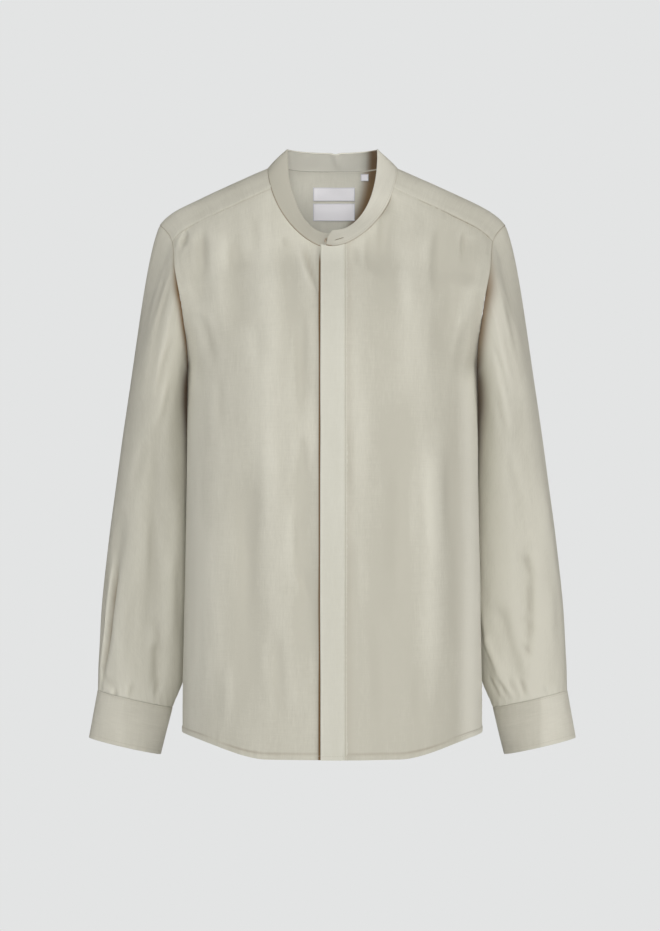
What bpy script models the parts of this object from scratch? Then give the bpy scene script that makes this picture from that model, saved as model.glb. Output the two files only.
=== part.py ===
"""Long-sleeved linen shirt with a band collar and a concealed front fastening.

The shirt is hollow and filled out, as if on a wearer. Sizes below are millimetres, and the
meshes are made in metres. +X is the wearer's left, -Y the front and +Z up. The origin is
midway between the two points where the collar seam crosses the top of the shoulders.

The body is one surface over (across, girth): across runs from -1 at the wearer's right edge
to 1 at the left edge, and girth is the distance from the front hem up over the shoulder and
down to the back hem. The fronts, yoke, back, fly and labels are all pieces of that surface.
"""

import math
from collections import namedtuple

import bmesh
import bpy
import numpy as np
from mathutils import Vector

MM = 0.001
FULL_TURN = 2 * math.pi
NUDGE = 1e-4  # step, as a share of a piece, over which a surface's slope is read

# Cloth
CLOTH = 1.6  # wall of one layer of the shirt
FUSED = 2.4  # wall of the collar band and cuffs, which are double and stiffened
SATIN = 0.6  # wall of the labels and the size tab
SEAM = 0.35  # gap between two pieces at a seam
ARMHOLE_SEAM = 0.85  # gap at the armhole, whose curve is tighter

# Body
SIDE_LINE_Y = 2.0  # depth at which the side seams run
SECTION_POWER = 2.3  # roundness of the body's level sections
TIP_SHARE, TIP_POWER = 0.1, 20  # the part of the fall kept for the rounded shoulder tip
ARMHOLE_STATIONS = 18  # points on half an armhole, at which panels and sleeve meet
STATION_CROWDING = 0.04  # how much closer they stand at the shoulder and the underarm
HEM_RISE_FROM, HEM_RISE_SPAN = 0.42, 0.65  # where the shirt-tail hem starts to rise

# Neck
NECK_HALF_WIDTH = 80.0
NECK_FRONT_DROP, NECK_FRONT_POWER = 104.0, 1.75
NECK_BACK_DEPTH, NECK_BACK_POWER = 47.0, 2.2
NECK_CROWDING = 1.3  # the fronts' rows stand closer where the neckline turns fastest
BAND_TOP_HALF_WIDTH = 56.0
BAND_TOP_SIDE_Z = 25.0
BAND_TOP_FRONT_Y, BAND_TOP_FRONT_Z = -44.0, -85.0
BAND_TOP_BACK_Y, BAND_TOP_BACK_Z = 24.0, 21.0
BAND_TOP_POWER = 2.2
BAND_BULGE = 1.0
BAND_GAP = 0.9  # gap between the band's foot and the neck seam, which it leans over
BAND_END_X = -8.0  # free end of the upper band, just past the centre
BAND_END_ROUND = 8.0
BAND_UNDER_X = 15.0  # hidden end of the under band
BAND_END_LIFT = 5.8  # the upper band's end rests on the collar button
BAND_LIFT_TURN = math.radians(75)

# Rows of the fronts below the underarm, and how much closer they stand at its level
FRONT_ROWS_BELOW, ROW_CROWDING = 13, 0.4
FRONT_COLUMNS, STRIP_COLUMNS = 12, 4

# Front opening
FLY_EDGE_X, FLY_STITCH_X = -14.5, 15.7  # folded edge and stitched edge of the fly
FRONT_LEFT_EDGE_X = -13.5
FRONT_RIGHT_EDGE_X = 16.0
STRIP_X = 16.0  # the strip at the opening reaches this far past the centre
OVERLAP_LIFT = 4.0  # how far the left front stands over the right one
LIFT_FULL_X, LIFT_NONE_X = 26.0, 70.0
FLY_TOP_GAP = 1.2
FLY_FITTED = 0.97  # share of its height above which the fly's rows bend to the neck seam
FLY_BUTTONS, FLY_BUTTON_TOP_Z, FLY_BUTTON_PITCH = 6, -160.0, 88.0
FLY_BUTTON_RADIUS, FLY_BUTTON_THICKNESS = 5.0, 1.4
COLLAR_BUTTON_RADIUS, COLLAR_BUTTON_THICKNESS = 4.8, 2.0
COLLAR_BUTTON_X, COLLAR_BUTTON_RISE = -6.5, 0.42

# Yoke
YOKE_BACK_CORNER_TURN = math.radians(125)
BACK_COLUMNS = 24
CALM_BY_YOKE = 18.0  # folds fade out over this distance from the yoke

# Sleeves and cuffs
SLEEVE_START = (0.41, 0.26, -0.87)  # outward, away from mid-depth and down
LEAVE_LENGTH, ARRIVE_LENGTH = 0.5, 0.95  # how long the cap holds its end directions
SLEEVE_ROWS_BELOW = 14
CUFF_HEIGHT = 62.5
CUFF_PROUD = 0.5
CUFF_TAPER = 2.0
CUFF_COLUMNS, CUFF_OVERLAP_COLUMNS = 30, 2  # in one turn, and in the ends' overlap
CUFF_OPEN_TURN = math.radians(285)
CUFF_LIFT, CUFF_LIFT_TURN = 2.9, math.radians(50)
CUFF_TILT = math.radians(13)
CUFF_LEAN_OUT = 12.5
VENT_ROWS, VENT_HALF_TURN = 5, math.radians(13)
VENT_LIFT = CLOTH + 0.4
CUFF_BUTTON_RADIUS, CUFF_BUTTON_THICKNESS = 5.0, 2.0

# Labels and size tab, inside the back of the neck
LABEL_LEFT_X, LABEL_RIGHT_X = -24.7, 28.6
UPPER_LABEL_Z = (-19.0, -35.5)
LOWER_LABEL_Z = (-38.5, -60.0)
TAB_X, TAB_Z = (36.2, 46.0), (-2.5, -11.0)

# A row for each level section of the body, from the front hem over the shoulder to the back
# hem. z_mid and y_mid are on the centre line, edge is the half width at the side seam or the
# armhole, beyond is how much further out the section would meet the side line, fall is how
# much lower the edge is than the middle, rounding is the share of the width over which that
# fall sets in, and rise is how much higher the edge is at the hem.
BodyRow = namedtuple("BodyRow", "name z_mid y_mid edge beyond fall rounding rise")
BODY_ROWS = (
    BodyRow("front hem", -730.0, -118.0, 187.0, 0.0, 0.0, 0.4, 27.0),
    BodyRow("front low hip", -640.0, -119.0, 186.5, 0.0, 0.0, 0.4, 0.0),
    BodyRow("front hip", -540.0, -118.0, 184.5, 0.0, 0.0, 0.4, 0.0),
    BodyRow("front waist", -420.0, -118.0, 182.5, 0.0, 0.0, 0.4, 0.0),
    BodyRow("front ribs", -310.0, -120.5, 180.8, 0.0, 0.0, 0.4, 0.0),
    BodyRow("front underarm", -252.0, -117.0, 180.0, 0.0, 0.0, 0.4, 0.0),
    BodyRow("front armhole foot", -232.0, -114.0, 179.6, 1.9, 8.0, 0.4, 0.0),
    BodyRow("front armhole low", -204.0, -107.5, 180.5, 7.1, 15.0, 0.4, 0.0),
    BodyRow("front armhole turn", -174.0, -97.5, 183.5, 16.3, 22.0, 0.4, 0.0),
    BodyRow("front chest", -140.0, -82.5, 187.0, 36.0, 30.0, 0.38, 0.0),
    BodyRow("front neck point", -104.0, -62.0, 192.0, 101.0, 42.0, 0.34, 0.0),
    BodyRow("front collar bone", -70.0, -50.0, 196.0, 126.0, 54.0, 0.28, 0.0),
    BodyRow("front shoulder", -38.0, -40.0, 197.5, 117.5, 70.0, 0.2, 0.0),
    BodyRow("front yoke seam", -3.5, -29.0, 199.0, 100.0, 90.0, 0.15, 0.0),
    BodyRow("shoulder ridge", 25.4, 2.0, 216.0, 84.0, 97.2, 0.15, 0.0),
    BodyRow("behind ridge", 23.0, 28.0, 211.0, 79.0, 102.0, 0.2, 0.0),
    BodyRow("back neck", 5.0, 46.0, 205.0, 80.0, 99.0, 0.32, 0.0),
    BodyRow("back shoulder", -26.0, 62.0, 201.0, 75.0, 83.0, 0.4, 0.0),
    BodyRow("back yoke seam", -88.0, 88.5, 197.0, 50.0, 43.0, 0.4, 0.0),
    BodyRow("back shoulder blade", -118.0, 98.0, 194.0, 39.0, 35.0, 0.4, 0.0),
    BodyRow("back armhole turn", -150.0, 106.5, 190.0, 27.5, 28.0, 0.4, 0.0),
    BodyRow("back armhole low", -184.0, 112.5, 185.0, 15.7, 21.0, 0.4, 0.0),
    BodyRow("back armhole foot", -218.0, 116.0, 181.0, 5.0, 12.0, 0.4, 0.0),
    BodyRow("back underarm", -252.0, 117.0, 180.0, 0.0, 0.0, 0.4, 0.0),
    BodyRow("back ribs", -310.0, 117.0, 180.8, 0.0, 0.0, 0.4, 0.0),
    BodyRow("back waist", -420.0, 112.0, 182.5, 0.0, 0.0, 0.4, 0.0),
    BodyRow("back hip", -540.0, 112.0, 184.5, 0.0, 0.0, 0.4, 0.0),
    BodyRow("back low hip", -640.0, 113.0, 186.5, 0.0, 0.0, 0.4, 0.0),
    BodyRow("back hem", -738.0, 114.0, 187.0, 0.0, 0.0, 0.4, 35.0),
)

# A row for each section of a sleeve below the underarm. turn_up is how far, in degrees, the
# outer side of the section is tilted up.
SleeveRow = namedtuple("SleeveRow", "name z x_mid y_mid half_width half_depth turn_up")
SLEEVE_ROWS = (
    SleeveRow("upper arm", -296.0, 220.5, 18.0, 36.3, 66.0, 10.0),
    SleeveRow("above elbow", -340.0, 222.5, 34.0, 41.8, 60.0, 8.0),
    SleeveRow("elbow", -400.0, 225.5, 48.0, 47.8, 54.0, 7.0),
    SleeveRow("below elbow", -480.0, 230.0, 56.0, 54.3, 49.0, 7.0),
    SleeveRow("forearm", -560.0, 235.0, 52.0, 57.5, 44.0, 7.0),
    SleeveRow("low forearm", -625.0, 240.5, 42.0, 55.3, 38.0, 10.0),
    SleeveRow("cuff seam", -665.0, 248.5, 30.0, 48.0, 27.0, 13.0),
)

# A row for each large soft fold. On the body it runs from one (x, z) to another and is raised
# from the cloth by height, or sunk where height is below zero.
BodyFold = namedtuple("BodyFold", "x_from z_from x_to z_to width height")
FRONT_FOLDS = (
    BodyFold(-165.0, -84.0, -160.0, -190.0, 13.0, -3.5),
    BodyFold(-145.0, -62.0, -140.0, -215.0, 15.0, 2.5),
    BodyFold(-118.0, -90.0, -112.0, -230.0, 18.0, -3.0),
    BodyFold(-80.0, -45.0, -76.0, -420.0, 22.0, 3.0),
    BodyFold(-62.0, -80.0, -30.0, -330.0, 16.0, -4.0),
    BodyFold(-36.0, -320.0, -32.0, -640.0, 15.0, -3.5),
    BodyFold(-104.0, -360.0, -100.0, -690.0, 24.0, -4.0),
    BodyFold(-152.0, -420.0, -148.0, -700.0, 20.0, 3.0),
    BodyFold(74.0, -28.0, 56.0, -150.0, 12.0, -3.5),
    BodyFold(100.0, -70.0, 104.0, -300.0, 20.0, 3.0),
    BodyFold(143.0, -62.0, 132.0, -270.0, 18.0, -4.0),
    BodyFold(170.0, -84.0, 166.0, -160.0, 12.0, -3.0),
    BodyFold(82.0, -280.0, 78.0, -600.0, 22.0, -4.0),
    BodyFold(118.0, -320.0, 126.0, -690.0, 20.0, 4.0),
    BodyFold(152.0, -330.0, 156.0, -640.0, 17.0, -3.5),
)
BACK_FOLDS = (
    BodyFold(-150.0, -140.0, -120.0, -420.0, 24.0, -4.0),
    BodyFold(-95.0, -160.0, -84.0, -520.0, 26.0, 4.0),
    BodyFold(-48.0, -260.0, -46.0, -690.0, 22.0, -3.5),
    BodyFold(-130.0, -430.0, -136.0, -720.0, 24.0, 3.5),
    BodyFold(30.0, -330.0, 36.0, -720.0, 24.0, 3.5),
    BodyFold(84.0, -150.0, 70.0, -560.0, 26.0, -4.0),
    BodyFold(128.0, -180.0, 112.0, -470.0, 24.0, 4.0),
    BodyFold(140.0, -400.0, 132.0, -700.0, 22.0, -4.0),
)

# On a sleeve a fold's place is its turn in degrees, 0 outside and 90 in front, and its height
# above the floor of the shirt. width is in degrees too.
SleeveFold = namedtuple("SleeveFold", "turn_from z_from turn_to z_to width height")
SLEEVE_FOLDS = {
    "right": (
        SleeveFold(96.0, -300.0, 92.0, -660.0, 15.0, -5.0),
        SleeveFold(48.0, -420.0, 24.0, -640.0, 13.0, -4.0),
        SleeveFold(132.0, -380.0, 124.0, -650.0, 15.0, 3.5),
        SleeveFold(62.0, -110.0, 84.0, -330.0, 14.0, -4.0),
        SleeveFold(108.0, -590.0, 120.0, -664.0, 9.0, -4.0),
        SleeveFold(228.0, -330.0, 240.0, -600.0, 18.0, -5.0),
        SleeveFold(300.0, -240.0, 276.0, -520.0, 17.0, 4.0),
        SleeveFold(264.0, -580.0, 258.0, -664.0, 9.0, -4.0),
        SleeveFold(336.0, -300.0, 324.0, -610.0, 16.0, -4.5),
    ),
    "left": (
        SleeveFold(84.0, -170.0, 72.0, -460.0, 15.0, -4.0),
        SleeveFold(78.0, -460.0, 84.0, -620.0, 12.0, -5.5),
        SleeveFold(120.0, -540.0, 96.0, -664.0, 11.0, -4.5),
        SleeveFold(144.0, -580.0, 120.0, -664.0, 9.0, 4.0),
        SleeveFold(36.0, -380.0, 48.0, -620.0, 15.0, 3.5),
        SleeveFold(228.0, -340.0, 234.0, -590.0, 18.0, -5.0),
        SleeveFold(288.0, -230.0, 264.0, -540.0, 17.0, 4.0),
        SleeveFold(264.0, -590.0, 258.0, -664.0, 9.0, -4.0),
        SleeveFold(324.0, -320.0, 336.0, -600.0, 16.0, -4.5),
    ),
}

# Colours are linear.
LINEN = (0.535, 0.520, 0.440, 1.0)
LINEN_FUSED = (0.560, 0.545, 0.465, 1.0)
SATIN_WHITE = (0.700, 0.690, 0.720, 1.0)
HORN = (0.480, 0.420, 0.330, 1.0)
CLOTH_ROUGHNESS, SATIN_ROUGHNESS, HORN_ROUGHNESS = 0.85, 0.45, 0.40


def smooth_through(knots, values, at):
    """A curve through the values with no overshoot: cubic pieces with limited slopes."""
    gaps = np.diff(knots)
    slopes = np.diff(values) / gaps
    before, after = slopes[:-1], slopes[1:]
    weight_before = gaps[:-1] + 2 * gaps[1:]
    weight_after = 2 * gaps[:-1] + gaps[1:]
    same_way = before * after > 0
    safe_before = np.where(same_way, before, 1.0)
    safe_after = np.where(same_way, after, 1.0)
    total = weight_before + weight_after
    mean = total / (weight_before / safe_before + weight_after / safe_after)
    tangents = np.concatenate([slopes[:1], np.where(same_way, mean, 0.0), slopes[-1:]])
    index = np.clip(np.searchsorted(knots, at, side="right") - 1, 0, len(gaps) - 1)
    width = gaps[index]
    t = (at - knots[index]) / width
    start, end = values[index], values[index + 1]
    leave, arrive = tangents[index] * width, tangents[index + 1] * width
    across = end - start
    return start + t * (leave + t * (3 * across - 2 * leave - arrive + t * (leave + arrive - 2 * across)))


def smooth_step(value):
    """0 below 0, 1 above 1, and a smooth rise between."""
    t = np.clip(value, 0.0, 1.0)
    return t * t * (3 - 2 * t)


def shoulder_drop(share, rounding):
    """How much of a section's fall is reached at a share of the way to its edge."""
    level = np.sqrt(share**2 + rounding**2) - rounding
    full = np.sqrt(1 + rounding**2) - rounding
    return (1 - TIP_SHARE) * level / full + TIP_SHARE * share**TIP_POWER


def armhole_shares():
    """Stations on half an armhole, as shares of its length from the shoulder down."""
    even = np.linspace(0.0, 1.0, ARMHOLE_STATIONS)
    return even - STATION_CROWDING * np.sin(FULL_TURN * even)


def row_columns(rows):
    """The numbers of a table, as one array for each named column."""
    return {name: np.array([getattr(row, name) for row in rows]) for name in rows[0]._fields[1:]}


def fold_relief(folds, first, second):
    """The height of a table of folds at a place given by two coordinates."""
    relief = np.zeros(np.broadcast(first, second).shape)
    for fold in folds:
        start_a, start_b, end_a, end_b, width, height = fold
        run_a, run_b = end_a - start_a, end_b - start_b
        length = math.hypot(run_a, run_b)
        along = ((first - start_a) * run_a + (second - start_b) * run_b) / length**2
        off = ((first - start_a) * run_b - (second - start_b) * run_a) / length
        ends = smooth_step(along / 0.22) * smooth_step((1 - along) / 0.35)
        relief = relief + height * ends * np.exp(-((off / width) ** 2))
    return relief


class Body:
    """The surface of the shirt's body."""

    def __init__(self):
        self.columns = row_columns(BODY_ROWS)
        c = self.columns
        middle = np.stack([0.6 * c["edge"], c["y_mid"], c["z_mid"] - 0.5 * c["fall"]], axis=1)
        steps = np.linalg.norm(np.diff(middle, axis=0), axis=1)
        self.girths = np.concatenate([[0.0], np.cumsum(steps)])
        self.girth_of = {row.name: girth for row, girth in zip(BODY_ROWS, self.girths)}
        self.ridge = self.girth_of["shoulder ridge"]
        self.front_seam = self.girth_of["front yoke seam"]
        self.back_seam = self.girth_of["back yoke seam"]
        self.side_z = float(self.point_at_x(NECK_HALF_WIDTH, self.ridge)[2])

    def column(self, name, girth):
        return smooth_through(self.girths, self.columns[name], girth)

    def across_of(self, x, girth):
        """The across value at which a section reaches x."""
        share = np.clip(x / self.column("edge", girth), -1.0, 1.0)
        return np.arcsin(share) * 2 / math.pi

    def point(self, across, girth):
        """The place on the outer face of the cloth."""
        edge = self.column("edge", girth)
        closing = edge + self.column("beyond", girth)
        share = np.sin(np.abs(across) * math.pi / 2)
        x = np.sign(across) * edge * share
        filled = np.clip(1 - (np.abs(x) / closing) ** SECTION_POWER, 0.0, 1.0)
        depth = filled ** (1 / SECTION_POWER)
        y_mid = self.column("y_mid", girth)
        hem = smooth_step((share - HEM_RISE_FROM) / HEM_RISE_SPAN)
        z = self.column("z_mid", girth)
        z = z - self.column("fall", girth) * shoulder_drop(share, self.column("rounding", girth))
        z = z + self.column("rise", girth) * hem
        relief = fold_relief(BACK_FOLDS, x, z) * smooth_step((girth - self.back_seam) / CALM_BY_YOKE)
        relief -= fold_relief(FRONT_FOLDS, x, z) * smooth_step((self.front_seam - girth) / CALM_BY_YOKE)
        inland = smooth_step((1 - share) / 0.08)
        y = SIDE_LINE_Y + (y_mid - SIDE_LINE_Y) * depth + relief * inland
        return np.stack(np.broadcast_arrays(x, y, z), axis=-1)

    def point_at_x(self, x, girth):
        return self.point(self.across_of(x, girth), girth)

    def girth_where(self, coordinate, x, target, low, high):
        """The girth between low and high at which a coordinate of the surface reaches target."""
        low = np.full(np.shape(x), float(low))
        high = np.full(np.shape(x), float(high))
        rising = self.point_at_x(x, high)[..., coordinate] > self.point_at_x(x, low)[..., coordinate]
        for _ in range(50):
            middle = (low + high) / 2
            short = (self.point_at_x(x, middle)[..., coordinate] < target) == rising
            low = np.where(short, middle, low)
            high = np.where(short, high, middle)
        return (low + high) / 2

    def neckline(self, turn):
        """(across, girth) on the neck seam; turn is 0 at the centre front, growing to the left."""
        turn = np.asarray(turn, dtype=float)
        x = NECK_HALF_WIDTH * np.sin(turn)
        share = np.abs(np.sin(turn))
        drop = np.clip(1 - share**NECK_FRONT_POWER, 0, 1) ** (1 / NECK_FRONT_POWER)
        depth = np.clip(1 - share**NECK_BACK_POWER, 0, 1) ** (1 / NECK_BACK_POWER)
        low = self.girth_of["front armhole turn"]
        high = self.girth_of["back yoke seam"]
        front = self.girth_where(2, x, self.side_z - NECK_FRONT_DROP * drop, low, self.ridge)
        back = self.girth_where(1, x, SIDE_LINE_Y + NECK_BACK_DEPTH * depth, self.ridge, high)
        girth = np.where(np.cos(turn) >= 0, front, back)
        return self.across_of(x, girth), girth

    def turn_where(self, target):
        """The turn, left of the centre front, at which the neckline reaches a girth."""
        turns = np.linspace(0.0, math.pi / 2, 400)
        return float(np.interp(target, self.neckline(turns)[1], turns))

    def armhole_table(self, underarm):
        """Girth against the share of the armhole's length, from the shoulder to the underarm."""
        girths = np.linspace(self.ridge, self.girth_of[underarm], 400)
        steps = np.linalg.norm(np.diff(self.point(1.0, girths), axis=0), axis=1)
        length = np.concatenate([[0.0], np.cumsum(steps)])
        return length / length[-1], girths

    def stations(self, underarm):
        """Girths at which the panels' edges and the sleeve share a corner, in rising order."""
        return np.sort(np.interp(armhole_shares(), *self.armhole_table(underarm)))


BODY = Body()


def blend(start, end, share):
    return start + (end - start) * share


def between(values, low, high, clear=4.0):
    """The values that lie between low and high and clear of both."""
    return values[(values > low + clear) & (values < high - clear)]


def armhole_match():
    """The station on the armhole that is level, on a front, with the neck's front corner."""
    stations = BODY.stations("front underarm")
    return stations[np.argmin(np.abs(stations - BODY.girth_of["front chest"]))]


def front_rows():
    """Rows of a front: closer as they near the underarm, then at the armhole's stations."""
    stations = BODY.stations("front underarm")
    underarm, match = stations[0], armhole_match()
    top = BODY.girth_of["front yoke seam"] - SEAM / 2
    beside = stations[stations < match - 1]
    even = np.linspace(0, 1, FRONT_ROWS_BELOW + 1)[:-1]
    crowded = even * (1 + ROW_CROWDING - ROW_CROWDING * even)
    straight = np.concatenate([crowded * underarm, beside, [match]]) / match
    above = np.concatenate([[match], between(stations, match, top), [top]])
    halves = (above[1:] + above[:-1]) / 2
    curved = (np.sort(np.concatenate([above, halves])) - match) / (top - match)
    return np.concatenate([straight, 1 + curved[1:]])


def neck_girth_at(x):
    """Girth of the neck seam on the front, at x."""
    return BODY.neckline(np.arcsin(x / NECK_HALF_WIDTH))[1]


def front_surface(side, edge_x):
    """A front: side is 1 for the wearer's left, and edge_x is where it ends at the opening.

    up is 0 to 1 from the hem to the level of the neck's corner, and 1 to 2 along the neckline.
    out is -1 to 0 over the strip at the opening, which stops at the neck seam, and 0 to 1 from
    the strip to the side seam and the armhole.
    """
    corner_x = side * STRIP_X
    corner_turn = math.asin(corner_x / NECK_HALF_WIDTH)
    corner_girth = float(BODY.neckline(corner_turn)[1])
    match = armhole_match()
    top = BODY.girth_of["front yoke seam"] - SEAM / 2
    seam_turn = side * BODY.turn_where(top)

    def surface(up, out):
        straight = np.clip(up, 0.0, 1.0)
        curved = np.clip(up - 1.0, 0.0, 1.0)
        strip_x = blend(corner_x, edge_x, np.clip(-out, 0.0, 1.0))
        strip_girth = neck_girth_at(strip_x) * straight
        neck_turn = blend(corner_turn, seam_turn, curved**NECK_CROWDING)
        neck_across, neck_girth = BODY.neckline(neck_turn)
        on_neck = up > 1.0
        inner_across = np.where(on_neck, neck_across, BODY.across_of(corner_x, corner_girth * straight))
        inner_girth = np.where(on_neck, neck_girth, corner_girth * straight)
        outer_girth = np.where(on_neck, blend(match, top, curved), match * straight)
        out_across = blend(inner_across, side, np.clip(out, 0.0, 1.0))
        out_girth = blend(inner_girth, outer_girth, np.clip(out, 0.0, 1.0))
        in_strip = (out < 0) & (up <= 1.0)
        across = np.where(in_strip, BODY.across_of(strip_x, strip_girth), out_across)
        points = BODY.point(across, np.where(in_strip, strip_girth, out_girth))
        points[..., 1] -= SEAM / 2
        return points

    return surface


def yoke_girths():
    """Girths of the yoke's front and back seams."""
    return BODY.girth_of["front yoke seam"] + SEAM / 2, BODY.girth_of["back yoke seam"] - SEAM / 2


def yoke_rows():
    """Rows of the yoke: at the armhole's stations on each side, and even across the back."""
    front_girth, back_girth = yoke_girths()
    stations = np.union1d(BODY.stations("front underarm"), BODY.stations("back underarm"))
    side = (between(stations, front_girth, back_girth) - front_girth) / (back_girth - front_girth)
    side = np.concatenate([[0.0], side, [1.0]])
    across = np.linspace(1, 2, BACK_COLUMNS + 1)
    return np.concatenate([side, across[1:-1], 3 - side[::-1]])


def yoke_surface(along, out):
    """along runs round the neck from the left front seam to the right one, 0 to 3."""
    front_girth, back_girth = yoke_girths()
    seam_turn = BODY.turn_where(front_girth)
    stops = (0.0, 1.0, 2.0, 3.0)
    corner = YOKE_BACK_CORNER_TURN
    turn = np.interp(along, stops, (seam_turn, corner, FULL_TURN - corner, FULL_TURN - seam_turn))
    neck_across, neck_girth = BODY.neckline(turn)
    outer_across = np.interp(along, stops, (1.0, 1.0, -1.0, -1.0))
    outer_girth = np.interp(along, stops, (front_girth, back_girth, back_girth, front_girth))
    return BODY.point(blend(neck_across, outer_across, out), blend(neck_girth, outer_girth, out))


def back_rows():
    """Girths of the back's rows: at the armhole's stations, then even down to the hem."""
    top = BODY.girth_of["back yoke seam"] + SEAM / 2
    stations = BODY.stations("back underarm")
    beside = stations[stations > top + 4.0]
    below = np.linspace(beside[-1], BODY.girth_of["back hem"], 12)
    return np.concatenate([[top], beside, below[1:]])


def back_surface(girth, across):
    """The back, which runs from the yoke seam down to the hem."""
    points = BODY.point(across, girth)
    points[..., 1] += SEAM / 2
    return points


def overlap_lift(_, points):
    """How far the left front stands out over the right one, by distance from the centre."""
    return OVERLAP_LIFT * (1 - smooth_step((points[..., 0] - LIFT_FULL_X) / (LIFT_NONE_X - LIFT_FULL_X)))


def fly_surface(up, out):
    """The fly, a strip on the left front from the collar seam to the hem, row by row on it."""
    x = blend(FLY_EDGE_X, FLY_STITCH_X, out)
    neck = neck_girth_at(x)
    fitted = smooth_step((up - FLY_FITTED) / (1 - FLY_FITTED))
    girth = neck * up - FLY_TOP_GAP * fitted
    points = BODY.point(BODY.across_of(x, girth), girth)
    points[..., 1] -= SEAM / 2
    return points


def label_surface(x_range, z_range):
    """A patch on the inside of the back of the yoke."""

    def surface(down, out):
        x = blend(x_range[0], x_range[1], out)
        z = blend(z_range[0], z_range[1], down)
        girth = BODY.girth_where(2, x, z, BODY.girth_of["behind ridge"], BODY.girth_of["back armhole turn"])
        return BODY.point_at_x(x, girth)

    return surface


def band_turns(along, rise):
    """Turn round the neck of a place on the band, from its under end to its upper end."""
    end_x = BAND_END_X + BAND_END_ROUND * rise**3
    under = math.asin(BAND_UNDER_X / NECK_HALF_WIDTH)
    over = np.arcsin(end_x / NECK_HALF_WIDTH) - FULL_TURN
    return blend(under, over, along)


def band_surface(along, rise):
    """The collar band: straight lines from the neck seam to a smaller ring above it."""
    turn = band_turns(along, rise)
    across, girth = BODY.neckline(turn)
    foot = BODY.point(across, girth)
    share = np.abs(np.sin(turn))
    reach = np.clip(1 - share**BAND_TOP_POWER, 0, 1) ** (1 / BAND_TOP_POWER)
    front = np.cos(turn) >= 0
    top_y = np.where(front, BAND_TOP_FRONT_Y, BAND_TOP_BACK_Y)
    top_z = np.where(front, BAND_TOP_FRONT_Z, BAND_TOP_BACK_Z)
    top = np.stack(
        [
            BAND_TOP_HALF_WIDTH * np.sin(turn),
            blend(SIDE_LINE_Y, top_y, reach),
            blend(BAND_TOP_SIDE_Z, top_z, reach),
        ],
        axis=-1,
    )
    rise = np.asarray(rise)[..., None]
    leaning = top - foot
    start = BAND_GAP / np.linalg.norm(leaning, axis=-1, keepdims=True)
    outward = np.stack([np.sin(turn), -np.cos(turn), np.zeros_like(turn)], axis=-1)
    bulge = BAND_BULGE * 4 * rise * (1 - rise)
    return foot + leaning * blend(start, 1.0, rise) + outward * bulge


def band_lift(along, _):
    """The upper end of the band rides over the under end."""
    turns_left = (1 - along) * FULL_TURN
    return BAND_END_LIFT * (1 - smooth_step(turns_left / BAND_LIFT_TURN))


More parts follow.
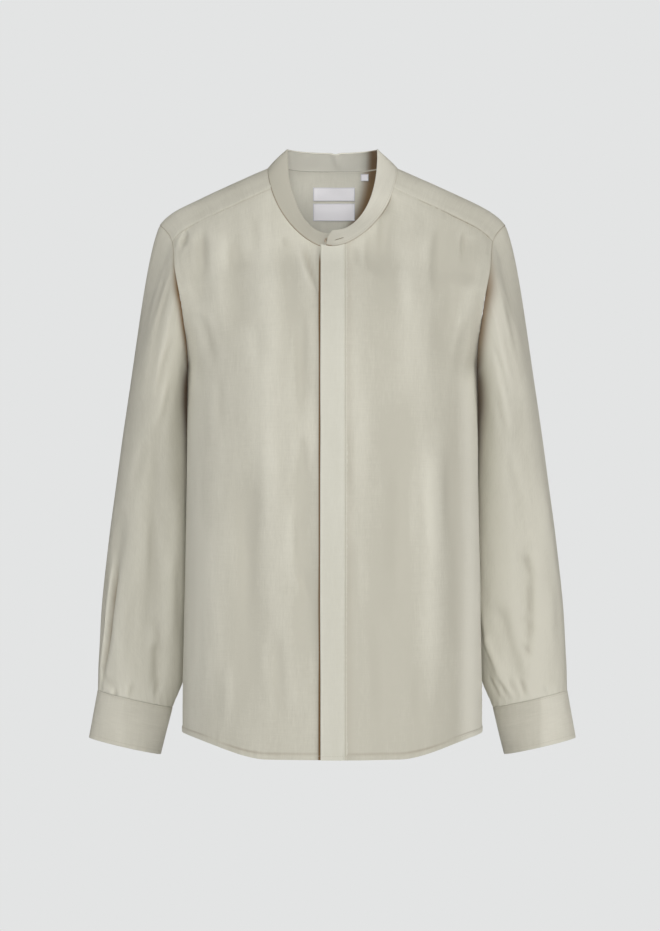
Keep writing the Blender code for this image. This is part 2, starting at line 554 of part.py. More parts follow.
class Sleeve:
    """The surface of a sleeve and its cuff; side is 1 for the wearer's left."""

    def __init__(self, side, folds):
        self.side = side
        self.folds = folds
        self.columns = row_columns(SLEEVE_ROWS)
        c = self.columns
        middle = np.stack([c["x_mid"], c["y_mid"], c["z"]], axis=1)
        steps = np.linalg.norm(np.diff(middle, axis=0), axis=1)
        self.runs = np.concatenate([[0.0], np.cumsum(steps)])
        self.length = float(self.runs[-1])
        self.front = BODY.armhole_table("front underarm")
        self.back = BODY.armhole_table("back underarm")

    def ring(self, turn, run, grow=0.0):
        """A place on the lower sleeve, run millimetres below its first section."""
        column = {name: smooth_through(self.runs, self.columns[name], run) for name in self.columns}
        tilt = np.radians(column["turn_up"])
        level = column["z"] + column["half_width"] * np.cos(turn) * np.sin(tilt)
        relief = fold_relief(self.folds, np.degrees(turn) % 360.0, level) + grow
        wide = (column["half_width"] + relief) * np.cos(turn)
        deep = (column["half_depth"] + relief) * np.sin(turn)
        x = self.side * (column["x_mid"] + wide * np.cos(tilt))
        return np.stack(np.broadcast_arrays(x, column["y_mid"] - deep, column["z"] + wide * np.sin(tilt)), axis=-1)

    def armhole(self, turn):
        """The sleeve's upper edge, set off from the armhole so that the two walls stay clear."""
        share = np.asarray(turn) % FULL_TURN / math.pi
        in_front = share <= 1
        share = np.where(in_front, share, 2 - share)
        girth = np.where(in_front, np.interp(share, *self.front), np.interp(share, *self.back))
        across = np.full(girth.shape, float(self.side))
        foot = BODY.point(across, girth)
        above = 1 - smooth_step((share - 0.8) / 0.2)
        foot[..., 1] += np.where(in_front, -SEAM / 2, SEAM / 2) * smooth_step(share / 0.1) * above
        inland = BODY.point(across * (1 - 20 * NUDGE), girth)
        step = 0.5
        hop = np.where(in_front, step, -step) * np.where(share < 0.5, -1, 1)
        seam_way = BODY.point(across, girth + hop) - BODY.point(across, girth - hop)
        normal = unit(np.cross(foot - inland, seam_way))
        centre = np.array([0.0, 0.0, -300.0])
        normal = np.where(dot(normal, foot - centre) < 0, -normal, normal)
        beyond = unit(np.cross(seam_way, normal))
        beyond = np.where(dot(beyond, foot - inland) < 0, -beyond, beyond)
        start = self.start_way(turn)
        reach = ARMHOLE_SEAM + CLOTH * 1.1 * np.clip(-dot(start, normal), 0, 1)
        return foot + unit(beyond * above[..., None] + start) * reach

    def start_way(self, turn):
        """The direction in which the sleeve leaves the armhole."""
        out, away, down = SLEEVE_START
        parts = (self.side * out, -away * np.sin(turn), down)
        return unit(np.stack(np.broadcast_arrays(*parts, np.asarray(turn))[:3], axis=-1))

    def surface(self, down, turn):
        """down is 0 to 1 over the sleeve head and 1 to 2 below it; turn is 0 at the shoulder."""
        head = np.clip(down, 0.0, 1.0)[..., None]
        foot = self.armhole(turn)
        first = self.ring(turn, 0.0)
        second = self.ring(turn, 20.0)
        chord = np.linalg.norm(first - foot, axis=-1, keepdims=True)
        leave = self.start_way(turn) * chord * LEAVE_LENGTH
        arrive = unit(second - first) * chord * ARRIVE_LENGTH
        across = first - foot
        cap = foot + head * (
            leave + head * (3 * across - 2 * leave - arrive + head * (leave + arrive - 2 * across))
        )
        lower = self.ring(turn, np.clip(down - 1.0, 0.0, 1.0) * self.length)
        return np.where(np.asarray(down)[..., None] < 1.0, cap, lower)

    def cuff_surface(self, turned, down):
        """The cuff: turned runs once round from the opening and on past the cuff's own start."""
        turn = CUFF_OPEN_TURN + turned
        top = self.columns
        tilt = CUFF_TILT
        x_mid = top["x_mid"][-1] + CUFF_LEAN_OUT * down
        z_mid = top["z"][-1] - SEAM - (CUFF_HEIGHT - CUFF_TAPER) * down * math.cos(tilt)
        wide = (top["half_width"][-1] + CUFF_PROUD - CUFF_TAPER * down) * np.cos(turn)
        deep = (top["half_depth"][-1] + CUFF_PROUD - CUFF_TAPER * down) * np.sin(turn)
        y_mid = top["y_mid"][-1] - 4.0 * down
        x = self.side * (x_mid + wide * math.cos(tilt))
        return np.stack(np.broadcast_arrays(x, y_mid - deep, z_mid + wide * math.sin(tilt)), axis=-1)

    def vent_surface(self, up, out):
        """The placket strip over the slit above the cuff, on the back of the sleeve."""
        run = self.length * (1 - VENT_ROWS / SLEEVE_ROWS_BELOW * up) - 1.5 * (1 - up)
        turn = CUFF_OPEN_TURN + math.radians(14) + blend(-VENT_HALF_TURN, VENT_HALF_TURN, out)
        return self.ring(turn, run)


def cuff_lift(turned, _):
    """The cuff's last part lies over its first."""
    return CUFF_LIFT * smooth_step((turned - FULL_TURN + CUFF_LIFT_TURN) / CUFF_LIFT_TURN)


def dot(first, second):
    return np.sum(first * second, axis=-1, keepdims=True)


def unit(vectors):
    return vectors / np.maximum(np.linalg.norm(vectors, axis=-1, keepdims=True), 1e-12)


def outward_normals(surface, first, second, points, centre):
    """Unit normals of a surface, pointing away from centre on the whole."""
    span_a = (first.max() - first.min()) * NUDGE
    span_b = (second.max() - second.min()) * NUDGE
    low_a, high_a = np.maximum(first - span_a, first.min()), np.minimum(first + span_a, first.max())
    low_b, high_b = np.maximum(second - span_b, second.min()), np.minimum(second + span_b, second.max())
    way_a = surface(high_a, second) - surface(low_a, second)
    way_b = surface(first, high_b) - surface(first, low_b)
    normals = unit(np.cross(way_a, way_b))
    if dot(normals, points - centre).mean() < 0:
        return -normals, True
    return normals, False


def make_material(name, colour, roughness):
    material = bpy.data.materials.new(name)
    material.use_nodes = True
    shader = material.node_tree.nodes["Principled BSDF"]
    shader.inputs["Base Color"].default_value = colour
    shader.inputs["Roughness"].default_value = roughness
    shader.inputs["Metallic"].default_value = 0.0
    material.diffuse_color = colour
    return material


def make_object(name, mesh, material, parent):
    mesh.materials.append(material)
    mesh.shade_smooth()
    mesh.set_sharp_from_angle(angle=math.radians(50))
    thing = bpy.data.objects.new(name, mesh)
    bpy.context.scene.collection.objects.link(thing)
    thing.parent = parent
    return thing


def wall_faces(indices, keep, offset, flipped, points):
    """Triangles of a wall: an outer sheet, an inner sheet and the rims that join their edges.

    indices numbers the corners of the outer sheet's grid, keep marks the quads that the piece
    has, and a corner of the inner sheet has its outer corner's number plus offset. Both sheets
    split each quad along its shorter diagonal, so that the wall keeps its thickness.
    """
    corners = (indices[:-1, :-1], indices[1:, :-1], indices[1:, 1:], indices[:-1, 1:])
    quads = np.stack(corners, axis=-1)[keep]
    a, b, c, d = (points[quads[:, place]] for place in range(4))
    turn_diagonal = np.linalg.norm(a - c, axis=1) > np.linalg.norm(b - d, axis=1)
    quads[turn_diagonal] = np.roll(quads[turn_diagonal], -1, axis=1)
    outer = np.concatenate([quads[:, [0, 1, 2]], quads[:, [0, 2, 3]]])
    if flipped:
        outer = outer[:, ::-1]
    starts, ends = outer.ravel().tolist(), np.roll(outer, -1, axis=1).ravel().tolist()
    met = set(zip(ends, starts))
    open_edges = [edge for edge in zip(starts, ends) if edge not in met]
    rims = [(end, start, start + offset) for start, end in open_edges]
    rims += [(end, start + offset, end + offset) for start, end in open_edges]
    return outer.tolist() + (outer[:, ::-1] + offset).tolist() + rims


def cloth_wall(name, surface, first, second, wall, lift=0.0, closed=False, centre=(0, 0, -350), keep=None):
    """A closed mesh: the surface moved out by lift, with the wall's thickness inside it."""
    first, second = np.meshgrid(first, second, indexing="ij")
    points = surface(first, second)
    normals, turned = outward_normals(surface, first, second, points, np.array(centre))
    if callable(lift):
        lift = lift(first, points)
    lift = np.broadcast_to(lift, first.shape)[..., None]
    outer = (points + normals * lift).reshape(-1, 3)
    inner = (points + normals * (lift - wall)).reshape(-1, 3)
    rows, columns = first.shape
    indices = np.arange(rows * columns).reshape(rows, columns)
    if closed:
        indices[:, -1] = indices[:, 0]
    if keep is None:
        keep = np.ones((rows - 1, columns - 1), dtype=bool)
    faces = wall_faces(indices, keep, len(outer), turned, outer)
    used = sorted({corner for face in faces for corner in face})
    renumbered = {corner: place for place, corner in enumerate(used)}
    corners = np.concatenate([outer, inner])[used] * MM
    mesh = bpy.data.meshes.new(name)
    mesh.from_pydata(corners.tolist(), [], [[renumbered[corner] for corner in face] for face in faces])
    return mesh


def button(name, centre, facing, radius, thickness, material, parent):
    """A round flat button with softened rims, its axis along facing."""
    mesh = bpy.data.meshes.new(name)
    form = bmesh.new()
    bmesh.ops.create_cone(
        form,
        cap_ends=True,
        segments=16,
        radius1=radius * MM,
        radius2=radius * MM,
        depth=thickness * MM,
    )
    rims = [edge for edge in form.edges if abs(edge.verts[0].co.z - edge.verts[1].co.z) < MM * 0.01]
    bmesh.ops.bevel(form, geom=rims, offset=0.3 * thickness * MM, segments=1, affect="EDGES")
    form.to_mesh(mesh)
    form.free()
    thing = make_object(name, mesh, material, parent)
    thing.location = Vector(centre) * MM
    thing.rotation_mode = "QUATERNION"
    thing.rotation_quaternion = Vector(facing).to_track_quat("Z", "Y")
    return thing


def place_on(surface, first, second, facing):
    """A point of a surface and its normal on the side that is facing a given way."""
    first, second = np.array([[first]]), np.array([[second]])
    step = 1e-3
    point = surface(first, second)
    way_a = surface(first + step, second) - surface(first - step, second)
    way_b = surface(first, second + step) - surface(first, second - step)
    normal = unit(np.cross(way_a, way_b))
    if dot(normal, np.array(facing)).mean() < 0:
        normal = -normal
    return point[0, 0], normal[0, 0]


def make_fronts(parent):
    up = front_rows()
    out = np.concatenate([np.linspace(-1, 0, STRIP_COLUMNS + 1)[:-1], np.linspace(0, 1, FRONT_COLUMNS + 1)])
    keep = (up[:-1, None] < 1) | (out[None, :-1] >= 0)
    fronts = (("front_right", -1, FRONT_RIGHT_EDGE_X, 0.0), ("front_left", 1, FRONT_LEFT_EDGE_X, overlap_lift))
    for name, side, edge_x, lift in fronts:
        front = cloth_wall(name, front_surface(side, edge_x), up, out, CLOTH, lift=lift, keep=keep)
        make_object(name, front, make_material(name, LINEN, CLOTH_ROUGHNESS), parent)


def make_fly(parent):
    lift = OVERLAP_LIFT + 0.3 + CLOTH
    up = front_rows()
    up = up[up <= 1]
    fly = cloth_wall("fly", fly_surface, up, np.linspace(0, 1, STRIP_COLUMNS + 1), CLOTH, lift=lift)
    make_object("fly", fly, make_material("fly", LINEN, CLOTH_ROUGHNESS), parent)
    material = make_material("fly_buttons", HORN, HORN_ROUGHNESS)
    for number in range(FLY_BUTTONS):
        z = FLY_BUTTON_TOP_Z - FLY_BUTTON_PITCH * number
        girth = BODY.girth_where(2, np.array(0.0), z, 0.0, BODY.girth_of["front neck point"])
        point = BODY.point(np.array(0.0), girth)
        above = BODY.point(np.array(0.0), girth + 1.0) - point
        facing = unit(np.array([0.0, -above[2], above[1]]))
        centre = point + facing * (0.35 + FLY_BUTTON_THICKNESS / 2) + np.array([0.0, -SEAM / 2, 0.0])
        name = f"fly_button_{number + 1}"
        button(name, centre, facing, FLY_BUTTON_RADIUS, FLY_BUTTON_THICKNESS, material, parent)


def make_yoke(parent):
    out = np.delete(np.linspace(0, 1, FRONT_COLUMNS + 1), range(1, FRONT_COLUMNS - 1, 2))
    yoke = cloth_wall("yoke", yoke_surface, yoke_rows(), out, CLOTH)
    make_object("yoke", yoke, make_material("yoke", LINEN, CLOTH_ROUGHNESS), parent)


def make_back(parent):
    across = np.linspace(-1, 1, BACK_COLUMNS + 1)
    back = cloth_wall("back", back_surface, back_rows(), across, CLOTH)
    make_object("back", back, make_material("back", LINEN, CLOTH_ROUGHNESS), parent)


def make_collar(parent):
    along, rise = np.linspace(0, 1, 45), np.linspace(0, 1, 4)
    centre = (0.0, -8.0, -30.0)
    band = cloth_wall(
        "collar_band",
        band_surface,
        along,
        rise,
        FUSED,
        lift=band_lift,
        centre=centre,
    )
    make_object("collar_band", band, make_material("collar_band", LINEN_FUSED, CLOTH_ROUGHNESS), parent)
    under = math.asin(BAND_UNDER_X / NECK_HALF_WIDTH)
    over = math.asin(BAND_END_X / NECK_HALF_WIDTH) - FULL_TURN
    along_button = (math.asin(COLLAR_BUTTON_X / NECK_HALF_WIDTH) - under) / (over - under)
    point, normal = place_on(band_surface, along_button, COLLAR_BUTTON_RISE, (0.0, -1.0, 0.0))
    middle = point + normal * (0.3 + COLLAR_BUTTON_THICKNESS / 2)
    material = make_material("collar_button", HORN, HORN_ROUGHNESS)
    size = (COLLAR_BUTTON_RADIUS, COLLAR_BUTTON_THICKNESS)
    button("collar_button", middle, normal, *size, material, parent)


def make_sleeve(name, side, parent):
    sleeve = Sleeve(side, SLEEVE_FOLDS[name])
    down = np.concatenate([np.linspace(0, 1, 7), np.linspace(1, 2, SLEEVE_ROWS_BELOW + 1)[1:]])
    half = armhole_shares() * math.pi
    turns = np.concatenate([half, FULL_TURN - half[-2::-1]])
    centre = (side * 230.0, 25.0, -380.0)
    tube = cloth_wall(f"sleeve_{name}", sleeve.surface, down, turns, CLOTH, closed=True, centre=centre)
    material = make_material(f"sleeve_{name}", LINEN, CLOTH_ROUGHNESS)
    make_object(f"sleeve_{name}", tube, material, parent)

    cuff_centre = (side * 255.0, 28.0, -695.0)
    cuff = cloth_wall(
        f"cuff_{name}",
        sleeve.cuff_surface,
        np.arange(CUFF_COLUMNS + CUFF_OVERLAP_COLUMNS + 1) * FULL_TURN / CUFF_COLUMNS,
        np.linspace(0, 1, 3),
        FUSED,
        lift=cuff_lift,
        centre=cuff_centre,
    )
    material = make_material(f"cuff_{name}", LINEN_FUSED, CLOTH_ROUGHNESS)
    make_object(f"cuff_{name}", cuff, material, parent)

    vent = cloth_wall(
        f"sleeve_placket_{name}",
        sleeve.vent_surface,
        np.linspace(0, 1, VENT_ROWS + 1),
        np.linspace(0, 1, 5),
        CLOTH,
        lift=VENT_LIFT,
        centre=centre,
    )
    material = make_material(f"sleeve_placket_{name}", LINEN, CLOTH_ROUGHNESS)
    make_object(f"sleeve_placket_{name}", vent, material, parent)

    at_button = FULL_TURN * (1 + 0.5 * CUFF_OVERLAP_COLUMNS / CUFF_COLUMNS)
    point, normal = place_on(sleeve.cuff_surface, at_button, 0.5, (0.0, 1.0, 0.0))
    middle = point + normal * (CUFF_LIFT + 0.3 + CUFF_BUTTON_THICKNESS / 2)
    material = make_material(f"cuff_button_{name}", HORN, HORN_ROUGHNESS)
    size = (CUFF_BUTTON_RADIUS, CUFF_BUTTON_THICKNESS)
    button(f"cuff_button_{name}", middle, normal, *size, material, parent)


def make_labels(parent):
    """Plain satin labels and a size tab, sewn to the inner face of the yoke."""
    down, out = np.linspace(0, 1, 3), np.linspace(0, 1, 6)
    inside = -(CLOTH + 0.5)
    label_x = (LABEL_LEFT_X, LABEL_RIGHT_X)
    for name, x_range, z_range in (
        ("label_upper", label_x, UPPER_LABEL_Z),
        ("label_lower", label_x, LOWER_LABEL_Z),
        ("size_tab", TAB_X, TAB_Z),
    ):
        label = cloth_wall(name, label_surface(x_range, z_range), down, out, SATIN, lift=inside)
        make_object(name, label, make_material(name, SATIN_WHITE, SATIN_ROUGHNESS), parent)


def main():
    for thing in list(bpy.data.objects):
        bpy.data.objects.remove(thing)
    shirt = bpy.data.objects.new("shirt", None)
    bpy.context.scene.collection.objects.link(shirt)
    make_fronts(shirt)
    make_fly(shirt)
    make_yoke(shirt)
    make_back(shirt)
    make_collar(shirt)
    make_sleeve("left", 1, shirt)
    make_sleeve("right", -1, shirt)
    make_labels(shirt)


if __name__ == "__main__":
    main()
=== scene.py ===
"""Looks of a long-sleeved linen shirt with a band collar and a concealed front fastening.

The shirt is hollow and filled out. Forms are worked out in millimetres on grids of places and
become meshes in metres. +X is the wearer's left, -Y the front and +Z up; the origin is midway
between the two points where the collar seam crosses the top of the shoulders.
"""

from __future__ import annotations

import logging
import math
from dataclasses import dataclass, field
from enum import Enum
from typing import NamedTuple, Optional, Sequence, Union

import bpy
import numpy as np
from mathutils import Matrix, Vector


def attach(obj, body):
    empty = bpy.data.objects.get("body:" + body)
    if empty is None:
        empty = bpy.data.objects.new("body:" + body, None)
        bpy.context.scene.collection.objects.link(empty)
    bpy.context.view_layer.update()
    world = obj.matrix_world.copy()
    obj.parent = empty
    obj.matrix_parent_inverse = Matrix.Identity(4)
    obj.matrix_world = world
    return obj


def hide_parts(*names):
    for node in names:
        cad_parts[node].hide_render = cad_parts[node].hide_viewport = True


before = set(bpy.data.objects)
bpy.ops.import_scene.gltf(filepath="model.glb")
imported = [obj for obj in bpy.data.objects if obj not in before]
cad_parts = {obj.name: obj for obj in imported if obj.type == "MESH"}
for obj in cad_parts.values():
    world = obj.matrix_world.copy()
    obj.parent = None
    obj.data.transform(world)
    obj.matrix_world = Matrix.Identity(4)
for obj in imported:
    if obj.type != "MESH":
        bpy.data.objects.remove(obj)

Array = np.ndarray
Numbers = Union[float, Array]
Colour = tuple[float, float, float]
Place = tuple[float, float, float]
Line = tuple[Array, Array]  # places and normals
LOG = logging.getLogger("shirt")

MM = 0.001
FULL_TURN = 2 * math.pi
BODY_NAME = "root"
PHOTO_HEIGHT = 931  # pixels

# Cloth
LINEN_WALL = 0.9  # drawn thickness of one layer
HEM_WALL = 1.5
FUSED_WALL = 2.0  # the collar band and the cuffs
SATIN_WALL = 0.45
SEAM = 0.35  # gap between the solids
HEM_WIDTH, HEM_STITCH = 6.5, 5.0
STITCH_PITCH, STITCH_LENGTH, STITCH_RADIUS = 3.0, 2.4, 0.24
LOOK_AHEAD = 0.8  # along a seam, to find its way
PUCKER_WAVE = 9.0
NOISE_CELLS = (61, 67)  # random heights each way before they repeat
NEAR_SEAM = (0.35, 0.8, 1.3, 1.9, 2.6, 3.6, 5.0)  # grid lines beside a stitched end
HOLLOW_REACH = 6  # grid lines
SHARP_ANGLE = math.radians(62)

# Body, as in the solids
SIDE_LINE_Y = 2.0
SECTION_POWER = 2.3
TIP_SHARE, TIP_POWER = 0.1, 20
HEM_RISE_FROM, HEM_RISE_SPAN = 0.42, 0.65
HALF_CHEST = 245.0  # from the centre to the side seam, along the cloth
CALM_BY_YOKE = 18.0
FOLD_LIGHT = 0.32  # painted light on a fold's ridge and painted shade in its trough, for each millimetre of height

# Neck, as in the solids
NECK_HALF_WIDTH = 80.0
NECK_FRONT_DROP, NECK_FRONT_POWER = 104.0, 1.75
NECK_BACK_DEPTH, NECK_BACK_POWER = 47.0, 2.2
BAND_TOP_HALF_WIDTH, BAND_TOP_SIDE_Z, BAND_TOP_POWER = 56.0, 25.0, 2.2
BAND_TOP_FRONT_Y, BAND_TOP_FRONT_Z = -44.0, -85.0
BAND_TOP_BACK_Y, BAND_TOP_BACK_Z = 24.0, 21.0
BAND_END_X, BAND_END_ROUND, BAND_UNDER_X = -8.0, 8.0, 15.0
BAND_END_LIFT, BAND_LIFT_TURN = 5.8, math.radians(75)
BAND_CORNER_DROP, BAND_CORNER_SHARE = 1.4, 0.03
# painted light inside the band and the yoke; painted shade by the neck opening's edge, and how far it reaches
BAND_PAINTED_LIGHT, YOKE_PAINTED_LIGHT, NECK_SHADE, NECK_SHADE_REACH = 1.15, 0.35, 0.92, 21.0
YOKE_BACK_CORNER_TURN = math.radians(125)

# Front opening, as in the solids
FLY_EDGE_X, FLY_STITCH_X = -14.5, 15.7
FRONT_LEFT_EDGE_X, FRONT_RIGHT_EDGE_X, STRIP_X = -13.5, 16.0, 16.0
OVERLAP_LIFT, LIFT_FULL_X, LIFT_NONE_X = 4.0, 26.0, 70.0
FLY_FITTED = 0.97
FLY_BUTTONS = 6

# Sleeves and cuffs, as in the solids
SLEEVE_START = (0.41, 0.26, -0.87)
LEAVE_LENGTH, ARRIVE_LENGTH = 0.5, 0.95
CUFF_HEIGHT, CUFF_PROUD, CUFF_TAPER, CUFF_LEAN_OUT = 62.5, 0.5, 2.0, 12.5
CUFF_OPEN_TURN, CUFF_TILT = math.radians(285), math.radians(13)
CUFF_LIFT, CUFF_LIFT_TURN = 2.9, math.radians(50)
CUFF_OVERLAP_TURN = FULL_TURN / 15
VENT_SHARE, VENT_HALF_TURN = 5 / 14, math.radians(13)


class Side(Enum):
    """One of the wearer's sides; the value is the sign of its X."""

    LEFT = 1
    RIGHT = -1


class BodyRow(NamedTuple):
    """A level section of the body, from the front hem over the shoulder to the back hem."""

    name: str
    z_mid: float
    y_mid: float
    edge: float
    beyond: float = 0.0
    fall: float = 0.0
    rounding: float = 0.4
    rise: float = 0.0


BODY_ROWS = (
    BodyRow("front hem", -730, -118, 187, rise=27),
    BodyRow("front low hip", -640, -119, 186.5),
    BodyRow("front hip", -540, -118, 184.5),
    BodyRow("front waist", -420, -118, 182.5),
    BodyRow("front ribs", -310, -120.5, 180.8),
    BodyRow("front underarm", -252, -117, 180),
    BodyRow("front armhole foot", -232, -114, 179.6, 1.9, 8),
    BodyRow("front armhole low", -204, -107.5, 180.5, 7.1, 15),
    BodyRow("front armhole turn", -174, -97.5, 183.5, 16.3, 22),
    BodyRow("front chest", -140, -82.5, 187, 36, 30, 0.38),
    BodyRow("front neck point", -104, -62, 192, 101, 42, 0.34),
    BodyRow("front collar bone", -70, -50, 196, 126, 54, 0.28),
    BodyRow("front shoulder", -38, -40, 197.5, 117.5, 70, 0.2),
    BodyRow("front yoke seam", -3.5, -29, 199, 100, 90, 0.15),
    BodyRow("shoulder ridge", 25.4, 2, 216, 84, 97.2, 0.15),
    BodyRow("behind ridge", 23, 28, 211, 79, 102, 0.2),
    BodyRow("back neck", 5, 46, 205, 80, 99, 0.32),
    BodyRow("back shoulder", -26, 62, 201, 75, 83),
    BodyRow("back yoke seam", -88, 88.5, 197, 50, 43),
    BodyRow("back shoulder blade", -118, 98, 194, 39, 35),
    BodyRow("back armhole turn", -150, 106.5, 190, 27.5, 28),
    BodyRow("back armhole low", -184, 112.5, 185, 15.7, 21),
    BodyRow("back armhole foot", -218, 116, 181, 5, 12),
    BodyRow("back underarm", -252, 117, 180),
    BodyRow("back ribs", -310, 117, 180.8),
    BodyRow("back waist", -420, 112, 182.5),
    BodyRow("back hip", -540, 112, 184.5),
    BodyRow("back low hip", -640, 113, 186.5),
    BodyRow("back hem", -738, 114, 187, rise=35),
)


class SleeveRow(NamedTuple):
    """A section of a sleeve below the underarm; turn_up tilts its outer side up, in degrees."""

    name: str
    z: float
    x_mid: float
    y_mid: float
    half_width: float
    half_depth: float
    turn_up: float


SLEEVE_ROWS = (
    SleeveRow("upper arm", -296.0, 220.5, 18.0, 36.3, 66.0, 10.0),
    SleeveRow("above elbow", -340.0, 222.5, 34.0, 41.8, 60.0, 8.0),
    SleeveRow("elbow", -400.0, 225.5, 48.0, 47.8, 54.0, 7.0),
    SleeveRow("below elbow", -480.0, 230.0, 56.0, 54.3, 49.0, 7.0),
    SleeveRow("forearm", -560.0, 235.0, 52.0, 57.5, 44.0, 7.0),
    SleeveRow("low forearm", -625.0, 240.5, 42.0, 55.3, 38.0, 10.0),
    SleeveRow("cuff seam", -665.0, 248.5, 30.0, 48.0, 27.0, 13.0),
)


class Fold(NamedTuple):
    """A large soft fold, as in the solids: two ends, half width and height (a trough below 0).

    On the body a and b are x and z; on a sleeve they are the turn in degrees and z.
    """

    a_from: float
    b_from: float
    a_to: float
    b_to: float
    width: float
    height: float

    @classmethod
    def rows(cls, *rows: tuple[float, ...]) -> tuple[Fold, ...]:
        """A table of them from plain rows."""
        return tuple(cls(*row) for row in rows)


FRONT_FOLDS = Fold.rows(
    (-165, -84, -160, -190, 13, -3.5), (-145, -62, -140, -215, 15, 2.5), (-118, -90, -112, -230, 18, -3),
    (-80, -45, -76, -420, 22, 3), (-62, -80, -30, -330, 16, -4), (-36, -320, -32, -640, 15, -3.5),
    (-104, -360, -100, -690, 24, -4), (-152, -420, -148, -700, 20, 3), (74, -28, 56, -150, 12, -3.5),
    (100, -70, 104, -300, 20, 3), (143, -62, 132, -270, 18, -4), (170, -84, 166, -160, 12, -3),
    (82, -280, 78, -600, 22, -4), (118, -320, 126, -690, 20, 4), (152, -330, 156, -640, 17, -3.5),
)
BACK_FOLDS = Fold.rows(
    (-150, -140, -120, -420, 24, -4), (-95, -160, -84, -520, 26, 4), (-48, -260, -46, -690, 22, -3.5),
    (-130, -430, -136, -720, 24, 3.5), (30, -330, 36, -720, 24, 3.5), (84, -150, 70, -560, 26, -4),
    (128, -180, 112, -470, 24, 4), (140, -400, 132, -700, 22, -4),
)
SLEEVE_FOLDS = {
    Side.RIGHT: Fold.rows(
        (96, -300, 92, -660, 15, -5), (48, -420, 24, -640, 13, -4), (132, -380, 124, -650, 15, 3.5),
        (62, -110, 84, -330, 14, -4), (108, -590, 120, -664, 9, -4), (228, -330, 240, -600, 18, -5),
        (300, -240, 276, -520, 17, 4), (264, -580, 258, -664, 9, -4), (336, -300, 324, -610, 16, -4.5),
    ),
    Side.LEFT: Fold.rows(
        (84, -170, 72, -460, 15, -4), (78, -460, 84, -620, 12, -5.5), (120, -540, 96, -664, 11, -4.5),
        (144, -580, 120, -664, 9, 4), (36, -380, 48, -620, 15, 3.5), (228, -340, 234, -590, 18, -5),
        (288, -230, 264, -540, 17, 4), (264, -590, 258, -664, 9, -4), (324, -320, 336, -600, 16, -4.5),
    ),
}


class Crease(NamedTuple):
    """A fine crease, laid over the folds; sway bows it sideways between its two ends."""

    a_from: float
    b_from: float
    a_to: float
    b_to: float
    sway: float
    width: float
    height: float

    @classmethod
    def rows(cls, *rows: tuple[float, ...]) -> tuple[Crease, ...]:
        """A table of them from plain rows."""
        return tuple(cls(*row) for row in rows)


FRONT_CREASES = Crease.rows(
    (-182, -78, -183.5, -103, 0.8, 3.4, -1.7), (-189, -84, -187, -108, -0.6, 3, -1.3),
    (-160, -66, -158, -150, 1.8, 6.5, -1.5), (-121, -80, -117, -142, 2, 8, -1.3),
    (-98, -58, -95, -118, -1.5, 6, -0.8), (-60, -86, -56, -106, 0.6, 3.6, -1.2),
    (-37, -92, -15, -165, 1.8, 4, -2.2), (-35, -172, -37, -335, 2.2, 5.5, -1.5),
    (-37, -325, -40, -402, -1.8, 4.8, -1.2), (-35.5, -410, -41, -505, 2.4, 5.6, -1.4),
    (-43, -488, -28, -548, -1.6, 4.6, -1.2), (-74, -310, -76, -495, 3.5, 13, 1.3),
    (-110, -405, -105, -600, -4, 11, -1.3), (-140, -250, -128, -352, 3, 7, -0.8),
    (-168, -176, -142, -262, -3, 6, -1), (-66, -560, -60, -700, 2.6, 9, -1.1),
    (-128, -600, -132, -712, -2, 8, 0.9), (-90, -182, -84, -268, 2, 9, -0.7),
    (73.5, -34, 60, -76, 1, 4.6, -1.7), (66, -56, 62, -124, 1.2, 5.6, -1.2),
    (49, -80, 45, -142, 1.5, 5.8, -1.1), (30, -100, 31, -133, 0.6, 4, -1),
    (134, -64, 127, -176, 2.2, 7.4, -1.3), (165, -74, 162.5, -128, 0.8, 4.2, -1.6),
    (150, -138, 140, -215, -2, 8, -1), (92, -116, 94, -205, 2.2, 10, 0.9),
    (22, -300, 23.5, -440, 1.4, 4.6, -1.2), (23.5, -452, 21.5, -590, -1.2, 5.2, -1.1),
    (85, -335, 82, -590, 3.6, 10, -1.3), (116, -330, 121, -520, -3, 9, 1),
    (144, -335, 147, -495, 2.4, 8, -1.1), (52, -540, 56, -705, -2.6, 10, -1.1),
    (104, -606, 110, -712, 2.2, 9, -0.9), (170, -186, 150, -274, 2.6, 6, -0.9),
)
BACK_CREASES = Crease.rows(
    (-176, -120, -150, -214, 3, 6.5, -1.5), (-160, -150, -128, -262, -3.5, 7.5, -1.3),
    (-112, -98, -106, -196, 2, 8, -1), (-36, -100, -34, -210, 2, 8, -1), (34, -98, 38, -236, -2.4, 8, -1),
    (110, -100, 104, -186, 1.8, 7.5, -1), (174, -118, 152, -206, -3, 6, -1.5),
    (158, -160, 122, -276, 3, 8, -1.2), (-90, -330, -40, -362, 5, 7, -1.2),
    (-20, -352, 62, -338, -6, 7.5, -1.1), (-70, -392, 30, -410, 7, 8.5, -1.3),
    (96, -330, 150, -302, -4, 7, -1.1), (-152, -336, -108, -372, 4, 7, -1.2),
    (-60, -470, -64, -640, 4, 10, -1.2), (62, -480, 58, -690, -4, 10, -1.2),
    (0, -520, -6, -712, 3, 9, 0.9), (-158, -500, -150, -690, 3, 8, -1.1),
    (150, -520, 144, -700, -2.5, 8.5, -1),
)
YOKE_CREASES = Crease.rows(
    (-12.5, -58, -12, -86, 0.6, 3, 1.4), (54, -20, 44, -74, 2, 8, -1), (-66, -24, -72, -80, -2, 8, -0.9),
    (-128, -52, -118, -86, 1.5, 7, -0.9), (130, -50, 122, -86, -1.5, 7, -0.9),
)
